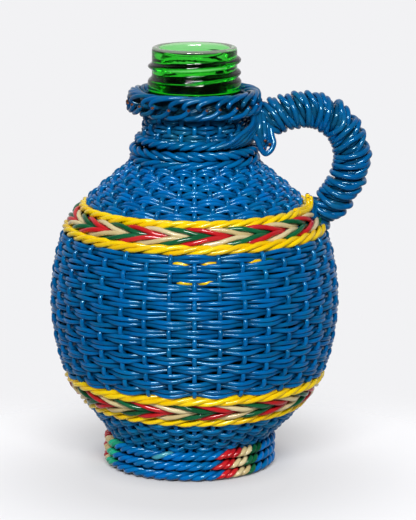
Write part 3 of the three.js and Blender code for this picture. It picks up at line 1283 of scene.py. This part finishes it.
def core_stub(wires: Strands, length: float = 0.4, radius: float = 0.68) -> Strands:
    """Makes the bare copper that stands out of each wire's last end.

    Args:
        wires: Open wires.
        length: How far the copper stands out.
        radius: Radius of the copper.

    Returns:
        One short copper wire for each wire.
    """
    end = wires.path[:, -1]
    ahead = unit(end - wires.path[:, -2])
    path = end[:, None] + STUB_REACH[:, None] * length * ahead[:, None]
    outward = np.repeat(wires.outward[:, -1:], len(STUB_REACH), 1)
    return Strands(path, outward, np.zeros(path.shape[:2]), radius * STUB_WIDTH, shade=Shade.COPPER)


@dataclass
class RimBorder:
    """The stake ends bent over one another into a rolled border.

    Each end is carried through a few knots of turn, radius and height: a lower arc that comes out under the
    rim and turns up to end in cut copper, a hidden arc behind the gaps, and an upper arc that starts with a
    hook above the copper, runs along the top edge and rolls in to the glass.
    """

    units: int = NECK_STAKES
    lower: tuple[tuple[float, float, float], ...] = (
        (-1.5, 21.6, 147.0),
        (-1.0, 23.8, 146.4),
        (-0.45, 25.9, 146.3),
        (0.1, 26.5, 147.1),
        (0.42, 26.6, 148.4),
        (0.52, 26.8, 149.2),
        (0.57, 27.2, 149.7),
    )
    behind: tuple[tuple[float, float, float], ...] = (
        (-1.6, 20.6, 146.8),
        (-0.6, 21.0, 148.2),
        (0.4, 21.1, 150.0),
        (1.6, 21.0, 151.8),
        (2.6, 20.7, 152.6),
    )
    upper: tuple[tuple[float, float, float], ...] = (
        (0.56, 21.0, 149.8),
        (0.42, 24.2, 149.9),
        (0.29, 26.1, 151.1),
        (0.55, 26.1, 152.7),
        (1.25, 25.5, 153.9),
        (2.1, 24.0, 154.2),
        (2.9, 22.1, 153.5),
        (3.3, 20.6, 152.4),
    )
    steps: int = 30
    jitter: float = 0.13
    # Share of the jitter that moves an arc in and out
    loose: float = 0.5
    # Middle of the roll, the reach of its outer face from there, and the least depth of a wire
    roll_radius: float = 21.5
    roll_height: float = 149.7
    roll_reach: float = 6.4
    least_sunk: float = 0.9

    def arcs(self, knots: tuple[tuple[float, float, float], ...], seed: int, ahead: float = 0.0) -> Strands:
        """Carries one kind of arc round the rim.

        Args:
            knots: Turn in units, radius and height of each knot.
            seed: Seed of the small differences between arcs.
            ahead: How far the arcs are turned on, in units.

        Returns:
            One open wire for each unit.
        """
        random = np.random.default_rng(SEED + seed)
        curve = through(np.array(knots), self.steps)
        nudge = random.normal(0, self.jitter, (3, self.units, 1))
        turn = (np.arange(self.units)[:, None] + curve[:, 0] + ahead + nudge[0]) / self.units * tau
        radius = curve[:, 1] + self.loose * nudge[1]
        height = curve[:, 2] + nudge[2]
        path = np.stack([radius * np.cos(turn) + LEAN_SHIFT, radius * np.sin(turn), height], -1)
        away = radius - self.roll_radius
        outward = np.stack([away * np.cos(turn), away * np.sin(turn), height - self.roll_height], -1)
        # The depth below the roll's outer face darkens the hollows with dust and painted shade
        sunk = np.maximum(self.roll_reach - np.linalg.norm(outward, axis=-1), self.least_sunk)
        return Strands(path, unit(outward), sunk, shade=Shade.WORN)

    def build(self) -> None:
        """Makes the border's piece and ties it to the model."""
        lower, upper = self.arcs(self.lower, 1), self.arcs(self.upper, 3)
        behind = [self.arcs(self.behind, 2), self.arcs(self.behind, 4, ahead=0.5)]
        piece = wire_piece("rim_border_wires", [lower, core_stub(lower), *behind, upper])
        settle(piece, Slot.BLUE, "rim_border")


@dataclass
class Handle:
    """A bundle of wires bent into a loop, under a plain close winding and two wires that cross over it.

    A place beside the centre line has a share of the wound part's length, an angle about the bundle that is 0
    on the outer side and a quarter turn at the front, and a distance. With outer = (1 + cos about) / 2 a
    crossing wire's distance is middle + fullness (1 - outer) + swing (1 - dip). Its dip is side_dip sin^4
    about on the wire that is over the other at the outer side, and outer_dip outer^3 on the one under it.
    """

    x: float = 47.9
    z: float = 128.6
    # Angle and radius along the centre line, from the shoulder up and over to the neck
    line: tuple[tuple[float, float], ...] = (
        (-92.0, 29.6),
        (-76.0, 25.4),
        (-60.0, 22.1),
        (-38.0, 19.8),
        (0.0, 18.4),
        (40.0, 17.8),
        (90.0, 18.3),
        (115.0, 19.2),
        (136.0, 21.4),
        (152.0, 24.5),
    )
    # Turn, radius and height along the wires that run from the neck's top row up under the rim
    brace: tuple[tuple[float, float, float], ...] = (
        (0.58, 23.8, 134.1),
        (0.34, 25.1, 136.0),
        (0.2, 25.9, 138.8),
        (0.1, 26.2, 142.4),
        (0.08, 25.2, 145.8),
    )
    # How far each of those wires is turned on, and the shares of that which are left along it
    brace_starts: tuple[float, ...] = (0.12, 0.24, 0.37, 0.5, 0.63)
    brace_shares: tuple[float, ...] = (1.0, 1.0, 0.95, 0.62, 0.5)
    brace_sunk: float = 1.5
    # The bundle: its radius and wires, and the shares of the wound part that it follows
    core: float = 2.4
    core_wires: int = 12
    core_wire: float = 2.0
    # Depth given to the bundle's wires, which darkens them with dust and painted shade
    core_sunk: float = 2.4
    core_from: float = 0.02
    core_to: float = 0.96
    core_knots: int = 24
    # Radius, half turn and height of the bundle where it fans out under the rim
    under_rim: tuple[tuple[float, float, float], ...] = ((22.5, 0.2, 147.0), (26.0, 0.14, 146.0))
    # Height on the cover, spread along it, half turn and depth of the bundle on the shoulder
    on_shoulder: tuple[tuple[float, float, float, float], ...] = (
        (107.0, 1.5, 0.14, -1.2),
        (104.5, 1.0, 0.24, 1.4),
    )
    # The plain winding: its distance, loops and depth below the crossing wires' outer face
    underlay: float = 4.5
    under_loops: int = 34
    # The winding's depth darkens it with dust and painted shade
    under_sunk: float = 2.8
    # The crossing wires, wound between two angles of the loop
    loops: int = 17
    wrap_from: float = 147.0
    wrap_to: float = -84.0
    wire: float = 2.2
    middle: float = 5.0
    swing: float = 1.3
    side_dip: float = 2.0
    outer_dip: float = 0.5
    fullness: float = 0.8
    rush: float = 0.4
    jitter: float = 0.18
    slant: float = 17.0
    cross_slant: float = 21.0
    line_steps: int = 400
    bundle_steps: int = 120
    steps_per_loop: int = 30
    end_steps: int = 40
    end_sunk: float = 1.0
    # Places along the wires that end beside the upper root: a bend, a straight end and short ends inside it
    tails: tuple[tuple[tuple[float, float, float], ...], ...] = (
        (
            (25.4, -10.6, 137.4),
            (27.1, -9.8, 135.4),
            (29.0, -8.9, 131.2),
            (30.6, -8.3, 129.6),
            (32.8, -7.6, 131.0),
            (33.9, -6.8, 133.8),
            (33.2, -5.6, 136.6),
            (32.5, -4.4, 140.0),
        ),
        (
            (29.4, -4.6, 145.0),
            (29.9, -7.2, 142.5),
            (30.1, -7.8, 138.6),
            (30.3, -8.8, 135.9),
            (30.4, -9.8, 135.1),
        ),
        (
            (31.5, -3.0, 136.4),
            (30.7, -5.0, 133.6),
            (30.1, -7.4, 132.0),
            (29.9, -8.8, 131.6),
        ),
        (
            (32.9, -2.0, 138.4),
            (32.6, -4.4, 135.2),
            (32.4, -6.6, 133.6),
            (32.3, -7.6, 133.3),
        ),
        (
            (27.9, -5.5, 145.5),
            (28.3, -8.0, 142.0),
            (28.0, -9.2, 138.5),
            (28.6, -9.0, 135.5),
            (29.6, -8.4, 133.2),
        ),
        (
            (29.2, -3.0, 145.0),
            (29.6, -5.5, 141.5),
            (29.0, -7.2, 138.0),
            (29.2, -7.4, 134.5),
            (30.2, -6.8, 132.2),
        ),
        (
            (31.0, -2.0, 144.0),
            (31.4, -4.6, 141.0),
            (31.4, -5.6, 137.5),
            (31.4, -5.8, 134.4),
            (31.6, -5.8, 132.6),
        ),
    )
    # Places along the yellow row's last wires, which turn up round the lower root
    rope_end: tuple[tuple[float, float, float], ...] = (
        (42.4, -21.6, 107.2),
        (45.8, -15.8, 106.9),
        (47.5, -11.6, 107.3),
        (48.0, -9.3, 109.0),
        (47.8, -8.4, 111.4),
    )
    # How far each of those wires lies from the first
    rope_end_steps: tuple[tuple[float, float, float], ...] = (
        (0.0, 0.0, 0.0),
        (1.0, 1.4, 0.5),
        (-0.2, 1.6, 1.4),
    )

    def centre_line(self) -> tuple[np.ndarray, np.ndarray, np.ndarray]:
        """Works out the centre line from the neck to the shoulder.

        Returns:
            Places and outward normals as columns x, z, normal x, normal z, the length run along the line, and
            the lengths where the wound part starts and ends.
        """
        angle, radius = through(np.array(self.line), self.line_steps)[::-1].T
        turn = np.radians(angle)
        place = np.stack([self.x + radius * np.cos(turn), self.z + radius * np.sin(turn)], -1)
        ahead = unit(np.gradient(place, axis=0))
        length = np.concatenate([[0], np.cumsum(np.linalg.norm(np.diff(place, axis=0), axis=1))])
        span = np.interp((-self.wrap_from, -self.wrap_to), -angle, length)
        return np.concatenate([place, np.stack([-ahead[:, 1], ahead[:, 0]], -1)], -1), length, span

    @property
    def wound(self) -> float:
        """Length of the wound part of the loop."""
        _, _, (first, last) = self.centre_line()
        return last - first

    def place(
        self, share: np.ndarray, about: np.ndarray, distance: np.ndarray
    ) -> tuple[np.ndarray, np.ndarray]:
        """Finds places beside the centre line.

        Args:
            share: Lengths along the wound part, as shares of it from the neck to the shoulder.
            about: Angles about the bundle.
            distance: Distances from the centre line.

        Returns:
            The places and the outward directions there.
        """
        share, about, distance = np.broadcast_arrays(share, about, distance)
        columns, length, (first, last) = self.centre_line()
        run = first + (last - first) * share
        x, z, out_x, out_z = (np.interp(run, length, column) for column in columns.T)
        outward = np.stack([np.cos(about) * out_x, -np.sin(about), np.cos(about) * out_z], -1)
        return np.stack([x, 0 * x, z], -1) + distance[..., None] * outward, outward

    def winding(self, wire: Crossing) -> Strands:
        """Works out one of the two crossing wires.

        The wire dips sharply where it passes under the other one, and leans across it on the outer side.

        Args:
            wire: Which of the two it is.

        Returns:
            The wire, which starts at the back.
        """
        random = np.random.default_rng(SEED + wire)
        count = np.linspace(0, self.loops, self.loops * self.steps_per_loop)
        about = (count - 0.25) * tau
        quarter = np.arange(4 * self.loops + 1) / 4
        stray = np.interp(count, quarter, random.normal(0, self.jitter, len(quarter)))
        outer = (1 + np.cos(about)) / 2
        dips = {Crossing.OVER: self.side_dip * np.sin(about) ** 4, Crossing.UNDER: self.outer_dip * outer**3}
        distance = self.middle + self.fullness * (1 - outer) + self.swing * (1 - dips[wire]) + stray
        lean_back = np.tan(radians(self.slant)) * np.cos(about)
        lean_back = lean_back + wire * np.tan(radians(self.cross_slant)) * outer
        # The wire that is under at the outer side runs half a loop behind the other
        turns = count + self.rush * np.sin(about) / tau + 0.25 * (1 - wire) + stray
        share = turns / (self.loops + 0.5) - lean_back * distance / self.wound
        path, outward = self.place(share, about, distance)
        sunk = self.middle + self.swing + self.wire / 2 - distance
        return Strands(path[None], outward[None], sunk[None], self.wire / 2, shade=Shade.WORN)

    def under_winding(self) -> Strands:
        """Works out the plain close winding that lies under the two crossing wires.

        Returns:
            The wire, which starts at the back.
        """
        count = np.linspace(0, self.under_loops, self.under_loops * self.steps_per_loop)
        about = (count - 0.25) * tau
        lean_back = np.tan(radians(self.slant)) * np.cos(about) * self.underlay / self.wound
        path, outward = self.place(count / self.under_loops - lean_back, about, self.underlay)
        return Strands(path[None], outward[None], self.under_sunk, self.wire / 2, shade=Shade.WORN)

    def bundle(self) -> Strands:
        """Works out the bundle: fanned out under the rim, side by side round the loop, then on the shoulder.

        Returns:
            One open wire for each of the bundle's wires.
        """
        about = np.arange(self.core_wires)[:, None] / self.core_wires * tau
        fan, level = -np.sin(about), np.cos(about)
        under_rim = [
            np.stack([LEAN_SHIFT + r * np.cos(turn * fan), r * np.sin(turn * fan), height + level], -1)
            for r, turn, height in self.under_rim
        ]
        loop, _ = self.place(np.linspace(self.core_from, self.core_to, self.core_knots), about, self.core)
        on_shoulder = [
            COVER.place(COVER.length_at(height) + spread * level, turn * fan, sunk)[0]
            for height, spread, turn, sunk in self.on_shoulder
        ]
        path = through_each(np.concatenate([*under_rim, loop, *on_shoulder], 1), self.bundle_steps)
        outward = unit(path - path.mean(0, keepdims=True))
        return Strands(path, outward, self.core_sunk, self.core_wire / 2)

    def braces(self) -> Strands:
        """Works out the wires that sweep from the neck's top row up into the handle, in front and behind.

        Returns:
            One open wire for each brace.
        """
        start = np.tile(self.brace_starts, 2)[:, None]
        side = np.repeat([-1.0, 1.0], len(self.brace_starts))[:, None]
        turn, radius, height = np.array(self.brace).T
        curl = side * (start * self.brace_shares + turn)
        knots = np.stack([LEAN_SHIFT + radius * np.cos(curl), radius * np.sin(curl), height + 0 * curl], -1)
        path = through_each(knots, self.end_steps)
        outward = unit((path - (LEAN_SHIFT, 0.0, 0.0)) * (1.0, 1.0, 0.0))
        return Strands(path, outward, self.brace_sunk, self.core_wire / 2, shade=Shade.WORN)

    def hook(self) -> Strands:
        """Works out the loose ends of the winding wires, hooked beside the upper root.

        Returns:
            One open wire for each end.
        """
        path = np.stack([through(np.array(tail), self.end_steps) for tail in self.tails])
        outward = np.zeros_like(path) + (0.0, -1.0, 0.0)
        return Strands(path, outward, self.end_sunk, self.wire / 2, shade=Shade.WORN)

    def rope_turn(self) -> Strands:
        """Works out the ends of the upper yellow row, which turn up round the lower root and are cut there.

        Returns:
            One open wire for each end.
        """
        path = through(np.array(self.rope_end), self.end_steps) + np.array(self.rope_end_steps)[:, None]
        outward = np.zeros_like(path) + (0.6, -0.8, 0.0)
        return Strands(path, outward, self.end_sunk, BAND_WIRE / 2, shade=Shade.YELLOW)

    def build(self) -> None:
        """Makes the bundle, the windings and the loose ends, and ties them to the model."""
        settle(wire_piece("handle_bundle", [self.bundle(), self.braces()]), Slot.BLUE, "handle_core")
        winding = [self.winding(Crossing.OVER), self.winding(Crossing.UNDER), self.under_winding()]
        settle(wire_piece("handle_winding", winding, HANDLE_SIDES), Slot.BLUE, "handle_wrap")
        for name, wires, slot, node in (
            ("handle_loose_end", self.hook(), Slot.BLUE, "handle_tail"),
            ("rope_ends", self.rope_turn(), Slot.YELLOW, "upper_band_top_rope"),
        ):
            settle(wire_piece(name, [wires, core_stub(wires)], HANDLE_SIDES), slot, node)


@dataclass
class WovenBase:
    """The flat underside: weavers over radial stakes round a tight coil in the middle.

    A stake's depth is middle + (-1)^stake bulge, and the coil is a few level circles inside one another.
    """

    inner: float = 7.6
    outer: float = 30.2
    courses: int = 6
    stakes: int = 24
    middle: float = 2.2
    swing: float = 1.05
    stake_push: float = 0.75
    stake_wire: float = 1.6
    stake_steps: int = 60
    coil_radii: tuple[float, ...] = (1.0, 2.9, 4.8, 6.7)
    coil_steps: int = 72

    def build(self) -> None:
        """Makes the base's piece and ties it to the model."""
        face = Face(((self.inner, 0.0), ((self.inner + self.outer) / 2, 0.0), (self.outer, 0.0)))
        weave = PlainWeave(
            "base_wires",
            "base_weave",
            face,
            start=0.0,
            end=self.outer - self.inner,
            courses=self.courses,
            stakes=self.stakes,
            middle=self.middle,
            swing=self.swing,
            stake_push=self.stake_push,
            wander=0.1,
        )
        length = np.linspace(0, weave.end, self.stake_steps)
        number = np.arange(self.stakes)[:, None]
        sunk = self.middle + (1 - 2 * (number % 2)) * weave.bulge(length)
        stakes = Strands(*face.place(length, number / self.stakes * tau, sunk), sunk, self.stake_wire / 2)
        around = np.arange(self.coil_steps) / self.coil_steps * tau
        ring = np.array(self.coil_radii)[:, None]
        path = np.stack([ring * np.cos(around), ring * np.sin(around), 0 * ring * around + WIRE / 2], -1)
        outward = np.zeros_like(path) + (0.0, 0.0, -1.0)
        coil = Strands(path, outward, WIRE / 2, closed=True)
        piece = wire_piece(weave.name, [weave.wires(), stakes, coil], WEAVE_SIDES)
        settle(piece, Slot.BLUE, weave.node)


# Stage


@dataclass(frozen=True)
class StudioPaper:
    """Matt white background paper lit from below.

    It takes the bottle's shadow, and away from the bottle it fades into the even backdrop. Its light from
    below is a painted glow, weaker near the bottle and shut off at the foot, which paints a soft shadow and a
    contact shadow there; the glow also lights the bottle from below.
    """

    name: str = "background_paper_matt"
    colour: str = "#B0B0B2"
    # Colour and strengths of the painted glow, and how far the occlusion that paints the contact shadow
    # reaches
    light: str = "#FDFDFF"
    painted_glow_near: float = 0.25
    painted_glow_far: float = 0.57
    contact_shadow_mm: float = 14.0
    near_radius: float = 40.0
    far_radius: float = 125.0
    centre: tuple[float, float, float] = (0.0, -0.03, 0.0)
    fibre_mm: float = 0.8
    solid_radius: float = 70.0
    clear_radius: float = 180.0
    seen_in_gloss: float = 0.25

    def material(self) -> bpy.types.Material:
        """Builds the node material.

        Returns:
            The material.
        """
        material, tree = new_material(self.name)
        place = add_node(tree, "TexCoord", output="Object")
        fibre = add_node(
            tree, "TexNoise", {"Vector": place, "Scale": 1 / (self.fibre_mm * MM), "Detail": 2.0}
        )
        bump = add_node(tree, "Bump", {"Height": fibre, "Strength": 0.05, "Distance": 0.05 * MM})
        paper = add_node(
            tree, "BsdfDiffuse", {"Color": linear(self.colour), "Roughness": 0.8, "Normal": bump}
        )
        away = add_node(tree, "VectorMath", {0: place, 1: self.centre}, "Value", operation="DISTANCE")
        painted_glow = add_node(
            tree,
            "MapRange",
            {
                "Value": away,
                "From Min": self.near_radius * MM,
                "From Max": self.far_radius * MM,
                "To Min": self.painted_glow_near,
                "To Max": self.painted_glow_far,
            },
        )
        # Close to the foot an occlusion mask shuts the painted glow off, which paints a contact shadow
        contact_shadow_mask = add_node(tree, "AmbientOcclusion", {"Distance": self.contact_shadow_mm * MM}, "AO")
        painted_glow = add_node(tree, "Math", {0: painted_glow, 1: contact_shadow_mask}, operation="MULTIPLY")
        light = add_node(tree, "Emission", {"Color": linear(self.light), "Strength": painted_glow})
        lit = add_node(tree, "AddShader", {0: paper, 1: light})
        clear = add_node(tree, "BsdfTransparent")
        fade = add_node(
            tree,
            "MapRange",
            {"Value": away, "From Min": self.solid_radius * MM, "From Max": self.clear_radius * MM},
            interpolation_type="SMOOTHSTEP",
        )
        # In the wires' gloss the paper is seen only faintly
        gloss = add_node(tree, "LightPath", output="Is Glossy Ray")
        faint = add_node(tree, "Math", {0: gloss, 1: 1 - self.seen_in_gloss}, operation="MULTIPLY")
        gone = add_node(tree, "Math", {0: fade, 1: faint}, operation="MAXIMUM")
        mix = add_node(tree, "MixShader", {0: gone, 1: lit, 2: clear})
        add_node(tree, "OutputMaterial", {"Surface": mix})
        return material


@dataclass(frozen=True)
class Lamp:
    """One soft box: where it stands and how large and strong it is, in metres and watts."""

    name: str
    place: tuple[float, float, float]
    width: float
    height: float
    power: float
    aim: tuple[float, float, float] = (0.0, 0.0, 0.085)
    in_gloss: bool = True
    in_matt: bool = True

    def build(self) -> None:
        """Hangs the lamp and points it at the bottle."""
        data = bpy.data.lights.new(self.name, "AREA")
        data.shape = "RECTANGLE"
        data.size = self.width
        data.size_y = self.height
        data.energy = self.power
        lamp = bpy.data.objects.new(self.name, data)
        lamp.location = self.place
        lamp.visible_glossy = self.in_gloss
        lamp.visible_diffuse = self.in_matt
        lamp.rotation_euler = (Vector(self.aim) - Vector(self.place)).to_track_quat("-Z", "Y").to_euler()
        bpy.context.scene.collection.objects.link(lamp)


@dataclass
class Studio:
    """Floor, backdrop, lamps and camera."""

    backdrop: str = "#F2F2F4"
    ambient: float = 0.2
    room_front: float = 0.03
    room_back: float = 0.7
    lens: float = 181.7
    camera_place: tuple[float, float, float] = (0.002, -1.050, 0.301)
    pitch_down: float = 11.66
    # The bottle's axis stands 13.5 pixels left of the middle of a picture 520 pixels high
    shift: float = 13.5 / 520
    floor_size: float = 1.2
    lamps: tuple[Lamp, ...] = (
        Lamp("front_strip_box", (0.0, -1.2, 0.85), 1.0, 0.2, 21.0),
        Lamp("front_window_box", (-0.2, -1.1, 0.95), 0.5, 0.14, 14.0, in_matt=False),
        Lamp("rear_left_box", (-0.75, 0.9, 0.75), 0.7, 0.7, 6.0, in_gloss=False),
        Lamp("rear_right_box", (0.75, 0.9, 0.75), 0.7, 0.7, 6.0, in_gloss=False),
    )

    def build_world(self) -> None:
        """Sets an even world that the camera sees as the backdrop's colour.

        Gloss and glass see the bright paper behind the bottle and a dim room in front of it.
        """
        world = bpy.data.worlds.new("pale_studio")
        bpy.context.scene.world = world
        world.use_nodes = True
        tree = world.node_tree
        tree.nodes.clear()
        direction = add_node(tree, "TexCoord", output="Generated")
        depth = add_node(tree, "SeparateXYZ", {0: direction}, "Y")
        in_gloss = add_node(
            tree,
            "MapRange",
            {"Value": depth, "From Min": 0.1, "To Min": self.room_front, "To Max": self.room_back},
        )
        in_glass = add_node(
            tree,
            "MapRange",
            {"Value": depth, "From Min": -0.3, "From Max": 0.3, "To Min": self.room_front},
        )
        colour = linear(self.backdrop)
        seen = add_node(tree, "Background", {"Color": colour, "Strength": self.ambient})
        for ray, strength in (
            ("Is Glossy Ray", in_gloss),
            ("Is Transmission Ray", in_glass),
            ("Is Camera Ray", 1.0),
        ):
            share = add_node(tree, "LightPath", output=ray)
            light = add_node(tree, "Background", {"Color": colour, "Strength": strength})
            seen = add_node(tree, "MixShader", {0: share, 1: seen, 2: light})
        add_node(tree, "OutputWorld", {"Surface": seen})

    def build_floor(self) -> None:
        """Lays the paper under the bottle."""
        half = self.floor_size / 2 / MM
        corners = np.array([(-half, -half, 0), (half, -half, 0), (half, half, 0), (-half, half, 0)], float)
        mesh = bpy.data.meshes.new("floor")
        fill_mesh(mesh, corners, np.arange(4), np.array([4]))
        mesh.materials.append(StudioPaper().material())
        link_piece("floor", mesh)

    def build_camera(self) -> None:
        """Sets the camera at the photograph's viewing angle."""
        data = bpy.data.cameras.new("camera")
        data.lens = self.lens
        data.shift_x = self.shift
        camera = bpy.data.objects.new("camera", data)
        camera.location = self.camera_place
        camera.rotation_euler = Euler((tau / 4 - radians(self.pitch_down), 0.0, 0.0))
        bpy.context.scene.collection.objects.link(camera)
        bpy.context.scene.camera = camera

    def build(self) -> None:
        """Sets up everything round the bottle."""
        bpy.context.scene.view_settings.view_transform = "Standard"
        self.build_world()
        self.build_floor()
        for lamp in self.lamps:
            lamp.build()
        self.build_camera()


def main() -> None:
    """Builds the bottle from the glass outwards, with the studio round it."""
    logging.basicConfig(level=logging.INFO, format="%(message)s")
    Studio().build()
    GlassBottle().build()
    WovenBase().build()
    Foot().build()
    lower = PlainWeave.between(
        "lower_weave",
        COVER,
        bottom=10.6,
        top=25.4,
        courses=6,
        stakes=COVER_STAKES,
        wire=2.0,
        spacing=1.6,
        swing=1.25,
        stake_push=1.0,
        flatness=0.8,
        # A darker copy of the blue wire: painted shade
        shade=Shade.AGED,
    )
    body = PlainWeave.between(
        "body_weave",
        COVER,
        bottom=39.0,
        top=97.8,
        courses=16,
        stakes=COVER_STAKES,
        wire=1.84,
        swing=0.95,
        stake_push=1.15,
        flatness=0.7,
    )
    shoulder = PlainWeave.between(
        "shoulder_weave",
        COVER,
        bottom=109.8,
        top=127.2,
        courses=7,
        stakes=COVER_STAKES,
        spacing=1.7,
        swing=0.85,
        stake_push=1.45,
        flatness=0.8,
        wander=0.12,
        # A lighter copy of the blue wire: painted light
        shade=Shade.FRESH,
    )
    neck = PlainWeave.between(
        "neck_weave",
        NECK,
        bottom=136.4,
        top=145.6,
        courses=3,
        stakes=NECK_STAKES,
        spacing=1.42,
        opening=0.3,
        wander=0.12,
        shade=Shade.WORN,
    )
    for weave in (lower, body, shoulder, neck):
        weave.build()
    StakeCage([lower, body, shoulder], neck).build()
    TuckedEnds(body).build()
    CoverBand("lower_band", bottom=25.4, top=38.9, first=FRONT).build()
    CoverBand("upper_band", bottom=97.9, top=109.7, first=FRONT - 0.08).build()
    level_row("neck_rope_bottom", 21, Lay.RISING).build()
    level_row("neck_rope_middle", 27, Lay.FALLING).build()
    level_row("neck_rope_top", 27, Lay.RISING).build()
    RimBorder().build()
    Handle().build()


if __name__ == "__main__":
    main()
